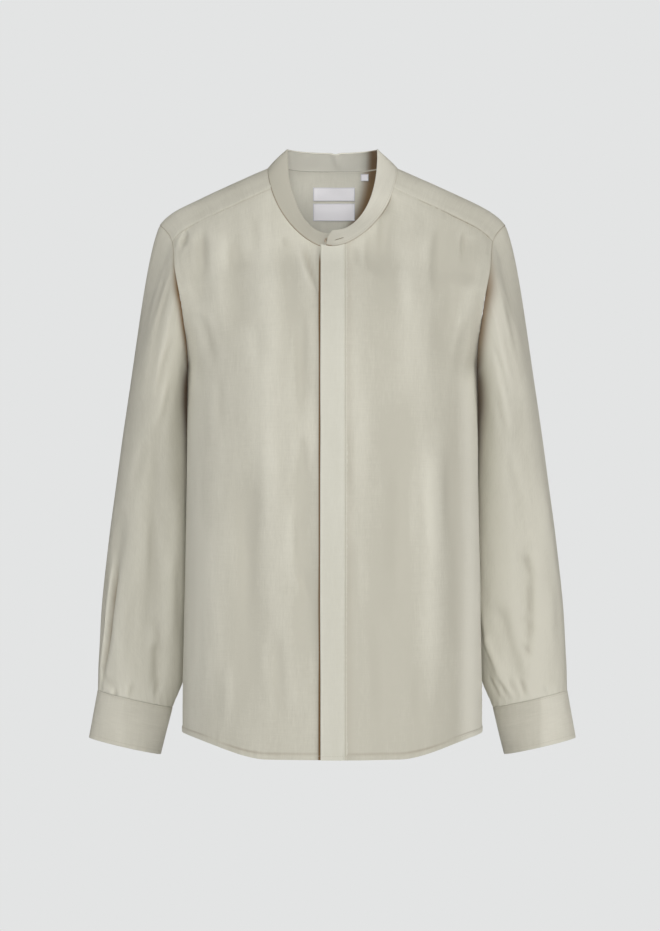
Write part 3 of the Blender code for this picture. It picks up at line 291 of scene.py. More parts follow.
SLEEVE_CREASES = {
    Side.RIGHT: Crease.rows(
        (41, -470, 26, -672, -2, 4.4, -5), (33, -470, 17, -660, -2, 5.5, 1.6),
        (30, -636, 66, -650, 2, 5, -1.4), (95, -420, 103, -560, 3, 6, -1.4),
        (103, -552, 112, -646, -2.5, 5.4, -1.5), (74, -520, 70, -640, 2.6, 7, -1),
        (132, -470, 138, -610, 3, 7, -1.2), (64, -128, 72, -250, 3, 6.5, -1.4),
        (42, -116, 50, -208, -2, 6, -1), (110, -200, 96, -322, 3.5, 7, -1.3),
        (128, -262, 92, -344, -3, 7, -1.2), (84, -330, 60, -424, 3, 8, -1),
        (58, -648, 60, -668, 0.4, 3.2, -1.5), (82, -640, 84, -668, 0.5, 3.4, -1.6),
        (118, -634, 122, -668, 0.6, 3.4, -1.6), (210, -356, 268, -384, 5, 7, -1.8),
        (214, -402, 276, -412, -4, 7, -1.6), (222, -446, 280, -436, 4, 7.5, -1.4),
        (300, -360, 336, -426, 4, 7, -1.5), (240, -486, 232, -610, 4, 8, -1.4),
        (304, -500, 292, -640, -3, 7, -1.4), (250, -120, 262, -250, 4, 8, -1.3),
        (300, -120, 296, -236, -3, 8, -1.2), (228, -640, 226, -668, 0.5, 3.4, -1.6),
        (318, -636, 320, -668, 0.5, 3.4, -1.6),
    ),
    Side.LEFT: Crease.rows(
        (80, -478, 71, -522, 1.5, 4.8, -1.6), (71, -500, 78, -590, -2, 4.8, -1.7),
        (79, -566, 88, -622, 2, 4.6, -1.6), (86, -556, 70, -592, 1, 4.2, -0.9),
        (92, -590, 74, -614, -1, 4, -0.8), (64, -470, 62, -570, 2, 6.5, 1.2),
        (163, -512, 148, -606, 2.6, 5, -2.2), (156, -560, 134, -622, -2, 4, -1.9),
        (142, -600, 128, -652, 1.5, 4, -1.5), (44, -430, 40, -640, 3, 8, -1.1),
        (54, -150, 66, -262, 3, 6.5, -1.3), (36, -116, 44, -214, -2, 6, -1),
        (112, -206, 92, -330, 3.5, 7, -1.3), (126, -268, 88, -352, -3, 7, -1.1),
        (100, -352, 82, -440, 3, 7.5, -1.2), (98, -634, 97, -668, 0.6, 3.4, -1.9),
        (112, -630, 110, -668, -0.6, 3.2, -1.8), (128, -636, 124, -668, 0.6, 3.4, -1.8),
        (144, -634, 138, -668, -0.6, 3.4, -1.7), (66, -644, 66, -668, 0.4, 3.2, -1.3),
        (212, -352, 266, -372, -5, 7, -1.8), (210, -392, 270, -404, 4, 7, -1.7),
        (220, -436, 284, -448, -4, 7.5, -1.4), (302, -350, 334, -420, -4, 7, -1.5),
        (242, -486, 236, -606, -4, 8, -1.4), (300, -496, 304, -640, 3, 7, -1.4),
        (252, -120, 260, -256, -4, 8, -1.3), (304, -124, 298, -240, 3, 8, -1.2),
        (230, -640, 228, -668, 0.5, 3.4, -1.6), (316, -636, 318, -668, 0.5, 3.4, -1.6),
    ),
}


def arc(start: Numbers, step: Numbers, leave: Numbers, arrive: Numbers, t: Numbers) -> Array:
    """A cubic from start to start + step, with its slopes at both ends, at a share t of the way."""
    return start + t * (leave + t * (3 * step - 2 * leave - arrive + t * (leave + arrive - 2 * step)))


def smooth_through(knots: Array, values: Array, at: Numbers) -> Array:
    """A curve through the values with no overshoot: cubic pieces with limited slopes.

    Each knot's slope is the weighted harmonic mean of its two neighbours' slopes, or 0 at a
    turning point.

    Args:
        knots: Rising places at which the values are given.
        values: The value at each knot.
        at: Places to read the curve at.

    Returns:
        The curve's values, in the shape of at.
    """
    gaps = np.diff(knots)
    slopes = np.diff(values) / gaps
    before, after = slopes[:-1], slopes[1:]
    weight_before, weight_after = gaps[:-1] + 2 * gaps[1:], 2 * gaps[:-1] + gaps[1:]
    same_way = before * after > 0
    safe_before, safe_after = np.where(same_way, before, 1.0), np.where(same_way, after, 1.0)
    total = weight_before + weight_after
    mean = total / (weight_before / safe_before + weight_after / safe_after)
    tangents = np.concatenate([slopes[:1], np.where(same_way, mean, 0.0), slopes[-1:]])
    index = np.clip(np.searchsorted(knots, at, side="right") - 1, 0, len(gaps) - 1)
    width = gaps[index]
    t = (at - knots[index]) / width
    start, step = values[index], values[index + 1] - values[index]
    return arc(start, step, tangents[index] * width, tangents[index + 1] * width, t)


def smooth_step(value: Numbers) -> Array:
    """0 below 0, 1 above 1, and 3 t^2 - 2 t^3 between."""
    t = np.clip(value, 0.0, 1.0)
    return t * t * (3 - 2 * t)


def blend(start: Numbers, end: Numbers, share: Numbers) -> Array:
    """The value a share of the way from start to end."""
    return start + (end - start) * share


def bell(value: Numbers, width: float, middle: float = 0.0) -> Array:
    """exp(-((value - middle) / width)^2): 1 at the middle, dying out over the width."""
    return np.exp(-(((value - middle) / width) ** 2))


def oval(share: Numbers, power: float) -> Array:
    """How deep an oval of this power is at a share of its half width."""
    return np.clip(1 - share**power, 0.0, 1.0) ** (1 / power)


def dot(first: Array, second: Array) -> Array:
    """Scalar products over the last axis, which stays as an axis of one."""
    return np.sum(first * second, axis=-1, keepdims=True)


def unit(vectors: Array) -> Array:
    """The vectors at length 1."""
    return vectors / np.maximum(np.linalg.norm(vectors, axis=-1, keepdims=True), 1e-12)


def beside_line(row: Union[Fold, Crease], first: Array, second: Array) -> Line:
    """How far along a row's line a place is, as a share, and how far off the line, in its units.

    Args:
        row: A fold or a crease.
        first: Places' first coordinate.
        second: Their second one.

    Returns:
        The share along the line and the distance off it.
    """
    run_a, run_b = row.a_to - row.a_from, row.b_to - row.b_from
    length = math.hypot(run_a, run_b)
    along = ((first - row.a_from) * run_a + (second - row.b_from) * run_b) / length**2
    return along, ((first - row.a_from) * run_b - (second - row.b_from) * run_a) / length


def fold_relief(folds: Sequence[Fold], first: Array, second: Array) -> Array:
    """Height of the large folds: each is height times exp(-(distance / width)^2), with soft ends.

    Args:
        folds: The rows of the table.
        first: Places' first coordinate.
        second: Places' second coordinate.

    Returns:
        The summed height at each place, in millimetres.
    """
    relief = np.zeros(np.broadcast(first, second).shape)
    for fold in folds:
        along, off = beside_line(fold, first, second)
        ends = smooth_step(along / 0.22) * smooth_step((1 - along) / 0.35)
        relief = relief + fold.height * ends * bell(off, fold.width)
    return relief


def crease_relief(creases: Sequence[Crease], first: Array, second: Array) -> Array:
    """Height of the fine creases: a trough with a lower, wider ridge on one side of it.

    Across a crease the height is exp(-q^2) - 0.4 exp(-((q - 1.7) / 1.3)^2), with q the distance
    from its bowed line over its width; it sets in over the first third and fades out faster.

    Args:
        creases: The rows of the table.
        first: Places' first coordinate.
        second: Places' second coordinate.

    Returns:
        The summed height at each place, in millimetres.
    """
    relief = np.zeros(np.broadcast(first, second).shape)
    for crease in creases:
        along, off = beside_line(crease, first, second)
        off = (off - crease.sway * np.sin(math.pi * np.clip(along, 0, 1))) / crease.width
        ends = smooth_step(along / 0.35) * smooth_step((1 - along) / 0.5)
        relief += crease.height * ends * (np.exp(-(off**2)) - 0.4 * bell(off, 1.3, 1.7))
    return relief


def deep_share(relief: Array) -> Array:
    """How much warm shade a trough holds: none at 2 mm deep, a tenth more for each millimetre."""
    return np.clip((-relief - 2.0) * 0.1, 0.0, 0.5)


def soft_noise(first: Array, second: Array, seed: int) -> Array:
    """Smooth uneven heights from -1 to 1: random values on a unit lattice, eased between.

    Args:
        first: Places' first coordinate, in cells.
        second: Their second one.
        seed: Seed of the random heights.

    Returns:
        The height at each place.
    """
    heights = np.random.default_rng(seed).uniform(-1, 1, NOISE_CELLS)
    cell_a, cell_b = np.floor(first).astype(int), np.floor(second).astype(int)
    ease_a, ease_b = smooth_step(first - cell_a), smooth_step(second - cell_b)
    count_a, count_b = NOISE_CELLS
    low_a, high_a = cell_a % count_a, (cell_a + 1) % count_a
    low_b, high_b = cell_b % count_b, (cell_b + 1) % count_b
    near = blend(heights[low_a, low_b], heights[high_a, low_b], ease_a)
    far = blend(heights[low_a, high_b], heights[high_a, high_b], ease_a)
    return blend(near, far, ease_b)


def puckers(distance: Array, along: Array, seed: int, reach: float = 9.0, height: float = 0.32) -> Array:
    """Small uneven ripples across a seam: a wave along it, dying out over reach.

    Args:
        distance: From the seam.
        along: Along the seam.
        seed: Seed of the ripples' unevenness.
        reach: How far they reach.
        height: How high they are.

    Returns:
        The relief at each place.
    """
    warp = 5.0 * soft_noise(along / 23.0, distance * 0 + seed, seed)
    strength = 0.65 + 0.5 * soft_noise(along / 31.0, distance * 0 + 2.0 * seed, seed + 1)
    wave = np.sin(FULL_TURN * (along + warp) / PUCKER_WAVE)
    return height * strength * np.exp(-np.abs(distance) / reach) * wave


def with_edges(count: int, length: float, first: bool = True, last: bool = True) -> Array:
    """Shares from 0 to 1 on a length in mm, even inside and close together at stitched ends.

    Args:
        count: Number of even steps.
        length: The real length.
        first: Whether the first end is stitched.
        last: Whether the last one is.

    Returns:
        The rising shares.
    """
    near, clear = np.array(NEAR_SEAM) / length, 6.0 / length
    even = np.linspace(0.0, 1.0, count + 1)
    inside = (even > clear * first) & (even < 1 - clear * last)
    shares = [even[(even == 0) | (even == 1) | inside]]
    if first:
        shares.append(near)
    if last:
        shares.append(1 - near)
    return np.unique(np.concatenate(shares))


def grid_distance(points: Array, axis: int) -> Array:
    """Distance travelled along an axis of a grid or a row of places, from its start."""
    steps = np.linalg.norm(np.diff(points, axis=axis), axis=-1)
    start = np.zeros_like(np.take(steps, [0], axis=axis))
    return np.concatenate([start, np.cumsum(steps, axis=axis)], axis=axis)


def line_at(distance: Array, values: Array, level: Numbers, axis: int) -> Array:
    """Values of a grid along the line on which a distance that rises along axis reaches level.

    Args:
        distance: Grid of distances.
        values: Grid of vectors.
        level: One level, or one for each line across the axis.
        axis: The axis along which distance rises.

    Returns:
        A row of vectors, by straight lines between the two corners on each side.
    """
    distance, values = np.moveaxis(distance, axis, -1), np.moveaxis(values, axis, -2)
    level = np.broadcast_to(level, distance.shape[:1])
    index = np.clip((distance < level[:, None]).sum(axis=-1) - 1, 0, distance.shape[-1] - 2)
    place = np.arange(len(index))
    low, high = distance[place, index], distance[place, index + 1]
    share = np.clip((level - low) / np.maximum(high - low, 1e-6), 0, 1)[:, None]
    return blend(values[place, index], values[place, index + 1], share)


def table_columns(rows: Sequence[NamedTuple]) -> dict[str, Array]:
    """The columns of a table of sections, by name."""
    return {name: np.array([getattr(row, name) for row in rows]) for name in rows[0]._fields[1:]}


class NodeBench:
    """A node tree with short calls that add nodes and join their sockets."""

    def __init__(self, tree: bpy.types.NodeTree) -> None:
        """Keeps the tree that nodes are added to."""
        self.tree = tree

    def add(self, kind: str, inputs: Optional[dict] = None, **settings: object) -> bpy.types.Node:
        """Adds a node.

        Args:
            kind: The node's class, without its leading ShaderNode.
            inputs: Values or sockets for the node's inputs, by name or number.
            settings: Properties of the node itself.

        Returns:
            The node.
        """
        node = self.tree.nodes.new("ShaderNode" + kind)
        for name, value in settings.items():
            setattr(node, name, value)
        self.fill(node, inputs or {})
        return node

    def fill(self, node: bpy.types.Node, inputs: dict) -> None:
        """Sets a node's inputs to values, or joins them to sockets, by name or number.

        Args:
            node: The node.
            inputs: Values or sockets, by name or number.
        """
        for name, value in inputs.items():
            if isinstance(value, bpy.types.NodeSocket):
                self.tree.links.new(value, node.inputs[name])
            else:
                node.inputs[name].default_value = value

    def math(self, operation: str, first: object, second: object = 0.0) -> bpy.types.NodeSocket:
        """The result of a Math node on two values or sockets."""
        return self.add("Math", {0: first, 1: second}, operation=operation).outputs[0]

    def plus(self, first: object, second: object, share: float) -> bpy.types.NodeSocket:
        """first + second * share."""
        return self.math("ADD", first, self.math("MULTIPLY", second, share))

    def raised(self, tone: bpy.types.NodeSocket) -> bpy.types.NodeSocket:
        """A tone about 0 as a share about a half, kept from 0 to 1."""
        return self.add("Math", {0: tone, 1: 0.5}, operation="ADD", use_clamp=True).outputs[0]

    def mix(self, share: bpy.types.NodeSocket, first: object, second: object) -> bpy.types.NodeSocket:
        """The colour a share of the way from the first colour or socket to the second."""
        ends = [end if isinstance(end, bpy.types.NodeSocket) else (*end, 1.0) for end in (first, second)]
        return self.add("Mix", {0: share, 6: ends[0], 7: ends[1]}, data_type="RGBA").outputs[2]

    def bump(self, height: bpy.types.NodeSocket, millimetres: float) -> bpy.types.NodeSocket:
        """The normal over a relief."""
        distance = millimetres * MM
        return self.add("Bump", {"Height": height, "Distance": distance, "Strength": 1.0}).outputs[0]

    def attribute(self, name: str) -> bpy.types.NodeSocket:
        """A named value of the mesh."""
        return self.add("Attribute", attribute_name=name).outputs["Fac"]

    def stretched(self, place: bpy.types.NodeSocket, factors: Colour) -> bpy.types.NodeSocket:
        """A vector multiplied by three factors."""
        return self.add("VectorMath", {0: place, 1: factors}, operation="MULTIPLY").outputs[0]

    def noise(self, place: bpy.types.NodeSocket, scale: float, detail: float = 2.0) -> bpy.types.NodeSocket:
        """Noise about 0, from about -0.5 to 0.5."""
        node = self.add("TexNoise", {"Vector": place, "Scale": scale, "Detail": detail, "Roughness": 0.55})
        return self.math("SUBTRACT", node.outputs[0], 0.5)


def new_group(name: str, values: dict[str, float]) -> tuple[bpy.types.NodeTree, NodeBench]:
    """An empty shader node group that takes a Place and gives a Tone and a Height.

    Args:
        name: The group's name.
        values: Its other inputs, with their starting values.

    Returns:
        The group and a bench on it.
    """
    group = bpy.data.node_groups.new(name, "ShaderNodeTree")
    group.interface.new_socket(name="Place", in_out="INPUT", socket_type="NodeSocketVector")
    for socket, value in values.items():
        made = group.interface.new_socket(name=socket, in_out="INPUT", socket_type="NodeSocketFloat")
        made.default_value = value
    for socket in ("Tone", "Height"):
        group.interface.new_socket(name=socket, in_out="OUTPUT", socket_type="NodeSocketFloat")
    return group, NodeBench(group)


def new_material(name: str) -> tuple[bpy.types.Material, NodeBench, bpy.types.Node]:
    """A material, a bench on its nodes and its shader."""
    material = bpy.data.materials.new(name)
    material.use_nodes = True
    return material, NodeBench(material.node_tree), material.node_tree.nodes["Principled BSDF"]


class ClothGroups:
    """The shader node groups that the cloth finishes share, each built once."""

    def __init__(self) -> None:
        """Builds the weave and the handling groups."""
        self.weave = self._weave()
        self.handling = self._handling()

    @staticmethod
    def _weave() -> bpy.types.NodeTree:
        """Plain weave with slubs.

        Threads cross as sin(2 pi n u) sin(2 pi n v), with n threads a metre; slubs are noise
        drawn out along the warp and, less strongly, along the weft.

        Returns:
            The group.
        """
        group, bench = new_group("plain weave", {"Threads": 1400.0, "Slub": 1.0})
        given = bench.tree.nodes.new("NodeGroupInput").outputs
        place, parts = given["Place"], bench.add("SeparateXYZ", {0: given["Place"]}).outputs
        turns = bench.math("MULTIPLY", given["Threads"], FULL_TURN)
        waves = [bench.math("SINE", bench.math("MULTIPLY", part, turns)) for part in parts[:2]]
        crossing = bench.math("MULTIPLY", *waves)
        warp = bench.noise(bench.stretched(place, (470.0, 30.0, 1.0)), 1.0)
        fine_warp = bench.noise(bench.stretched(place, (1150.0, 100.0, 1.0)), 1.0)
        weft = bench.noise(bench.stretched(place, (36.0, 640.0, 1.0)), 1.0)
        broken = bench.noise(bench.stretched(place, (60.0, 30.0, 1.0)), 1.0)
        broad = bench.noise(bench.stretched(place, (95.0, 11.0, 1.0)), 1.0)
        warp = bench.plus(bench.math("MULTIPLY", warp, bench.plus(0.5, broken, 2.8)), broad, 0.45)
        slubs = bench.plus(bench.math("MULTIPLY", warp, 0.9), weft, 0.45)
        slubs = bench.plus(slubs, fine_warp, 0.7)
        height = bench.plus(bench.math("MULTIPLY", crossing, 0.05), slubs, 0.12)
        out = bench.tree.nodes.new("NodeGroupOutput")
        bench.fill(out, {"Tone": bench.math("MULTIPLY", slubs, given["Slub"]), "Height": height})
        return group

    @staticmethod
    def _handling() -> bpy.types.NodeTree:
        """Cloth that has been handled: uneven tone in patches, and a soft crumple.

        Returns:
            The group.
        """
        group, bench = new_group("handled cloth", {})
        place = bench.tree.nodes.new("NodeGroupInput").outputs["Place"]
        patches = bench.noise(bench.stretched(place, (13.0, 13.0, 4.0)), 1.0, 3.0)
        crumple = bench.noise(bench.stretched(place, (70.0, 70.0, 34.0)), 1.0, 3.0)
        height = bench.plus(bench.math("MULTIPLY", crumple, 0.6), bench.noise(place, 210.0), 0.12)
        bench.fill(bench.tree.nodes.new("NodeGroupOutput"), {"Tone": patches, "Height": height})
        return group


@dataclass(frozen=True)
class LinenFinish:
    """Matt linen: base tones, weave with slubs, patchy tone, and painted light and shade on creases, folds
    and seams.
    """

    name: str
    slot: str
    light: Colour
    dark: Colour
    groups: ClothGroups
    # deep is the warm brown of painted shade, and pale the colour of painted light
    deep: Colour = (0.160, 0.085, 0.026)
    pale: Colour = (0.830, 0.815, 0.725)
    threads: float = 1350.0
    slub: float = 1.0
    crumple: float = 1.0
    roughness: float = 0.86
    sheen: float = 0.12

    def material(self) -> bpy.types.Material:
        """Builds the material.

        Tone is 0.5 + slubs + patches + the crease value, which is painted light and shade, and picks
        a colour between dark and light. A shade above 0 is painted shade leading on to deep, and one below 0
        is painted light leading to pale.

        Returns:
            The material.
        """
        material, bench, shader = new_material(self.name)
        place = bench.add("UVMap", uv_map="cloth").outputs[0]
        weave = bench.add("Group", node_tree=self.groups.weave)
        bench.fill(weave, {"Place": place, "Threads": self.threads, "Slub": self.slub})
        handling = bench.add("Group", node_tree=self.groups.handling)
        bench.fill(handling, {"Place": bench.add("TexCoord").outputs["Object"]})
        tone = bench.plus(weave.outputs["Tone"], handling.outputs["Tone"], 1.5)
        # crease: painted shade in hollows and painted light on ridges and lit places; shade: painted shade
        # above 0, painted light below 0
        tone = bench.raised(bench.plus(tone, bench.attribute("crease"), 0.5))
        shade, base = bench.attribute("shade"), bench.mix(tone, self.dark, self.light)
        painted_light_base = bench.mix(bench.math("MULTIPLY", shade, -1.0), base, self.pale)
        height = bench.plus(weave.outputs["Height"], handling.outputs["Height"], self.crumple)
        looks = {
            "Base Color": bench.mix(shade, painted_light_base, self.deep),
            "Normal": bench.bump(height, 1.0),
            "Roughness": self.roughness,
            "Sheen Weight": self.sheen,
            "Sheen Roughness": 0.5,
            "Specular IOR Level": 0.25,
        }
        bench.fill(shader, looks)
        return material


@dataclass(frozen=True)
class SatinFinish:
    """White woven satin: fine cross threads, a soft sheen, no printed marks, and a darker bluish rim that is
    partly woven edge and partly painted shade.
    """

    name: str
    slot: str
    light: Colour
    dark: Colour
    # the bluish rim colour: partly woven edge, partly painted shade
    edge: Colour = (0.330, 0.330, 0.400)
    roughness: float = 0.5

    def material(self) -> bpy.types.Material:
        """Builds the material from fine weft lines and a little unevenness; the shade value leads to the
        bluish edge colour, partly woven edge and partly painted shade.

        Returns:
            The material.
        """
        material, bench, shader = new_material(self.name)
        place = bench.add("UVMap", uv_map="cloth").outputs[0]
        lines = bench.noise(bench.stretched(place, (60.0, 2600.0, 1.0)), 1.0)
        tone = bench.raised(bench.plus(lines, bench.noise(place, 90.0), 0.6))
        base = bench.mix(tone, self.dark, self.light)
        looks = {
            "Base Color": bench.mix(bench.attribute("shade"), base, self.edge),
            "Normal": bench.bump(lines, 0.12),
            "Roughness": self.roughness,
            "Sheen Weight": 0.2,
        }
        bench.fill(shader, looks)
        return material


@dataclass(frozen=True)
class SolidFinish:
    """A close finish with streaks: horn-like buttons, spun sewing thread, or the dark cord of painted shadow
    in the buttonhole's slit.
    """

    name: str
    slot: str
    light: Colour
    dark: Colour
    roughness: float
    scale: float
    coat: float = 0.0

    def material(self) -> bpy.types.Material:
        """Builds the material: a streaked colour and a slight relief from the same noise.

        Returns:
            The material.
        """
        material, bench, shader = new_material(self.name)
        place = bench.stretched(bench.add("TexCoord").outputs["Object"], (1.0, 1.0, 2.5))
        streaks = bench.noise(place, self.scale, 4.0)
        tone = bench.raised(bench.math("MULTIPLY", streaks, 1.6))
        looks = {
            "Base Color": bench.mix(tone, self.dark, self.light),
            "Normal": bench.bump(streaks, 0.05),
            "Roughness": self.roughness,
            "Coat Weight": self.coat,
        }
        bench.fill(shader, looks)
        return material


Finish = Union[LinenFinish, SatinFinish, SolidFinish]


class Finishes:
    """The shirt's finishes and the material made from each, so that pieces share them."""

    def __init__(self) -> None:
        """Names the finishes; each material is made when it is first asked for."""
        groups = ClothGroups()
        self.linen = LinenFinish("linen", "linen", (0.658, 0.643, 0.558), (0.540, 0.524, 0.446), groups)
        # a lighter, less varied copy of the linen for the fly strip: painted light on the raised strip
        light, dark = (0.660, 0.653, 0.575), (0.600, 0.590, 0.512)
        self.placket = LinenFinish("linen placket", "linen", light, dark, groups)
        light, dark = (0.672, 0.655, 0.572), (0.500, 0.483, 0.410)
        self.fused = LinenFinish("fused linen", "linen_fused", light, dark, groups, slub=0.6, crumple=0.6)
        light, dark = (0.950, 0.940, 0.975), (0.915, 0.905, 0.940)
        self.satin = SatinFinish("blank satin", "satin", light, dark)
        light, dark = (0.560, 0.490, 0.385), (0.400, 0.330, 0.245)
        self.horn = SolidFinish("horn", "button", light, dark, 0.35, 260.0, 0.3)
        light, dark = (0.560, 0.545, 0.450), (0.470, 0.452, 0.365)
        self.thread = SolidFinish("sewing thread", "linen", light, dark, 0.7, 2400.0)
        # the buttonhole's slit as a dark brown cord: painted shadow in the gap
        light, dark = (0.190, 0.140, 0.090), (0.110, 0.075, 0.045)
        self.shadow = SolidFinish("buttonhole", "linen", light, dark, 0.9, 900.0)
        self._made: dict[str, bpy.types.Material] = {}

    def material(self, finish: Finish) -> bpy.types.Material:
        """The finish's material, made once."""
        if finish.name not in self._made:
            self._made[finish.name] = finish.material()
        return self._made[finish.name]


def link_object(name: str, data: bpy.types.ID) -> bpy.types.Object:
    """An object in the scene that shows a mesh, a lamp or a camera."""
    thing = bpy.data.objects.new(name, data)
    bpy.context.scene.collection.objects.link(thing)
    return thing


def mesh_object(
    name: str,
    corners: Array,
    faces: Array,
    uv: Optional[Array] = None,
    values: Optional[dict[str, Array]] = None,
) -> bpy.types.Object:
    """An object at the origin with a smooth mesh of four-sided faces.

    Args:
        name: The piece's name.
        corners: Places in millimetres.
        faces: Four corner numbers for each face.
        uv: A place on the flat cloth, in metres, for each corner of each face.
        values: Named values for each corner that the finish reads.

    Returns:
        The linked object.
    """
    mesh = bpy.data.meshes.new(name)
    mesh.vertices.add(len(corners))
    mesh.vertices.foreach_set("co", (corners * MM).astype(np.float32).ravel())
    mesh.loops.add(faces.size)
    mesh.loops.foreach_set("vertex_index", faces.astype(np.int32).ravel())
    mesh.polygons.add(len(faces))
    mesh.polygons.foreach_set("loop_start", np.arange(0, faces.size, 4, dtype=np.int32))
    mesh.update(calc_edges=True)
    if uv is not None:
        layer = mesh.uv_layers.new(name="cloth")
        layer.data.foreach_set("uv", uv.astype(np.float32).ravel())
    for label, numbers in (values or {}).items():
        mesh.attributes.new(label, "FLOAT", "POINT").data.foreach_set("value", numbers.astype(np.float32))
    mesh.shade_smooth()
    mesh.set_sharp_from_angle(angle=SHARP_ANGLE)
    return link_object(name, mesh)


@dataclass
class ClothGrid:
    """A piece of cloth as a grid of places, with relief laid on it and a wall inside it."""

    points: Array
    centre: Place = (0.0, 0.0, -350.0)
    closed: bool = False
    keep: Optional[Array] = None
    wall: Numbers = LINEN_WALL
    along: Array = field(init=False)
    across: Array = field(init=False)
    normals: Array = field(init=False)
    relief: Array = field(init=False)
    # shade: painted shade above 0 and painted light below 0 on the outer face; inner_shade the same on the
    # inner face; light: painted light above 0, painted shade below 0
    shade: Array = field(init=False)
    inner_shade: Array = field(init=False)
    light: Array = field(init=False)
    flat: Array = field(init=False)
    flipped: bool = field(init=False)

    def __post_init__(self) -> None:
        """Measures the grid and finds its outward normals."""
        self.along, self.across = grid_distance(self.points, 0), grid_distance(self.points, 1)
        for name in ("relief", "shade", "inner_shade", "light"):
            setattr(self, name, np.zeros(self.points.shape[:2]))
        self.flat = np.stack([self.across, self.along], axis=-1)
        ring = self.points
        if self.closed:
            ring = np.concatenate([self.points[:, -2:-1], self.points, self.points[:, 1:2]], axis=1)
        way_b = np.gradient(ring, axis=1)
        way_b = way_b[:, 1:-1] if self.closed else way_b
        normals = unit(np.cross(np.gradient(self.points, axis=0), way_b))
        self.flipped = bool(dot(normals, self.points - np.array(self.centre)).mean() < 0)
        self.normals = -normals if self.flipped else normals

    @property
    def to_last_row(self) -> Array:
        """Distance to the last row, along the columns."""
        return self.along[-1:] - self.along

    @property
    def to_last_column(self) -> Array:
        """Distance to the last column, along the rows."""
        return self.across[:, -1:] - self.across

    def roughen(self, seed: int, height: float = 0.45) -> None:
        """Lays two scales of soft unevenness on the cloth, longer along its columns.

        Args:
            seed: Seed of the unevenness.
            height: How high it is.
        """
        u, v = self.flat[..., 0], self.flat[..., 1]
        wide = soft_noise(u / 36.0 + 3.1, v / 120.0 + 5.2, seed)
        fine = soft_noise(u / 13.0 + 1.7, v / 42.0 + 2.9, seed + 7)
        if self.closed:
            ease = smooth_step(self.across / 25.0) * smooth_step(self.to_last_column / 25.0)
            wide, fine = wide * ease, fine * ease
        self.relief = self.relief + height * (wide + 0.35 * fine)

    def ledge(self, distance: Array) -> None:
        """The turned hem: a thicker wall and a step where it ends."""
        self.wall = LINEN_WALL + (HEM_WALL - LINEN_WALL) * (1 - smooth_step((distance - HEM_WIDTH) / 1.2))
        self.relief = self.relief + 0.6 * (1 - smooth_step((distance - HEM_WIDTH) / 0.8))

    def hem_line(self, distance: Array) -> Array:
        """1 in the thin shadow above the hem."""
        return bell(distance, 0.8, HEM_WIDTH + 0.3)

    def hollow(self) -> Array:
        """Relief measured from its own average over the grid lines near it, so that lifts drop out.

        Returns:
            The difference at each place.
        """
        padded, span = np.pad(self.relief, HOLLOW_REACH, mode="edge"), 2 * HOLLOW_REACH + 1
        total = np.pad(np.cumsum(np.cumsum(padded, axis=0), axis=1), ((1, 0), (1, 0)))
        box = total[span:, span:] - total[:-span, span:] - total[span:, :-span] + total[:-span, :-span]
        return self.relief - box / span**2

    def surface(self) -> Array:
        """The outer face, with its relief."""
        return self.points + self.normals * self.relief[..., None]

    def seam(self, distance: Array, level: Numbers, axis: int) -> Line:
        """The outer face's places and normals where a distance along an axis reaches level."""
        return line_at(distance, self.surface(), level, axis), line_at(distance, self.normals, level, axis)

    def rim(self) -> Array:
        """Distance to the nearest of the four edges."""
        across = np.minimum(self.across, self.to_last_column)
        return np.minimum(across, np.minimum(self.along, self.to_last_row))

    def area(self) -> float:
        """Area of the outer face in square metres."""
        way_a, way_b = np.diff(self.points, axis=0)[:, :-1], np.diff(self.points, axis=1)[:-1]
        cells = np.linalg.norm(np.cross(way_a, way_b), axis=-1)
        return float((cells if self.keep is None else cells[self.keep]).sum()) * MM * MM

    def build(self, name: str) -> bpy.types.Object:
        """Makes the closed mesh: the outer face, the inner face and the rims between them.

        Args:
            name: The piece's name.

        Returns:
            The linked object.
        """
        rows, columns = self.points.shape[:2]
        outer = self.surface()
        wall = np.broadcast_to(self.wall, (rows, columns))[..., None]
        corners = np.concatenate([outer.reshape(-1, 3), (outer - self.normals * wall).reshape(-1, 3)])
        count = rows * columns
        numbers = np.arange(count).reshape(rows, columns)
        places = np.stack([numbers[:-1, :-1], numbers[1:, :-1], numbers[1:, 1:], numbers[:-1, 1:]], axis=-1)
        places = places.reshape(-1, 4) if self.keep is None else places[self.keep]
        places = places[:, ::-1] if self.flipped else places
        joined = numbers.copy()
        if self.closed:
            joined[:, -1] = joined[:, 0]
        joined = joined.ravel()
        starts, ends = places.ravel(), np.roll(places, -1, axis=1).ravel()
        forward = joined[starts] * count + joined[ends]
        backward = joined[ends] * count + joined[starts]
        open_edges = ~np.isin(forward, backward)
        starts, ends = starts[open_edges], ends[open_edges]
        rims = np.stack([joined[ends], joined[starts], joined[starts] + count, joined[ends] + count], axis=-1)
        faces = np.concatenate([joined[places], joined[places][:, ::-1] + count, rims])
        uv_places = np.concatenate([places, places[:, ::-1], np.stack([ends, starts, starts, ends], axis=-1)])
        uv = self.flat.reshape(-1, 2) * MM
        used, faces = np.unique(faces, return_inverse=True)
        # crease: painted shade in hollows and painted light on ridges from the relief, plus the grid's
        # painted light
        crease = np.tile(np.clip(self.hollow() / 1.6 + self.light, -1.2, 1.2).ravel(), 2)[used]
        shade = np.concatenate([self.shade.ravel(), self.inner_shade.ravel()])[used]
        values = {"crease": crease, "shade": shade}
        return mesh_object(name, corners[used], faces.reshape(-1, 4), uv[uv_places], values)


def read_along(travelled: Array, values: Array, at: Array) -> Array:
    """Vectors along a line, read at distances along it."""
    return np.stack([np.interp(at, travelled, values[:, k]) for k in range(3)], axis=-1)


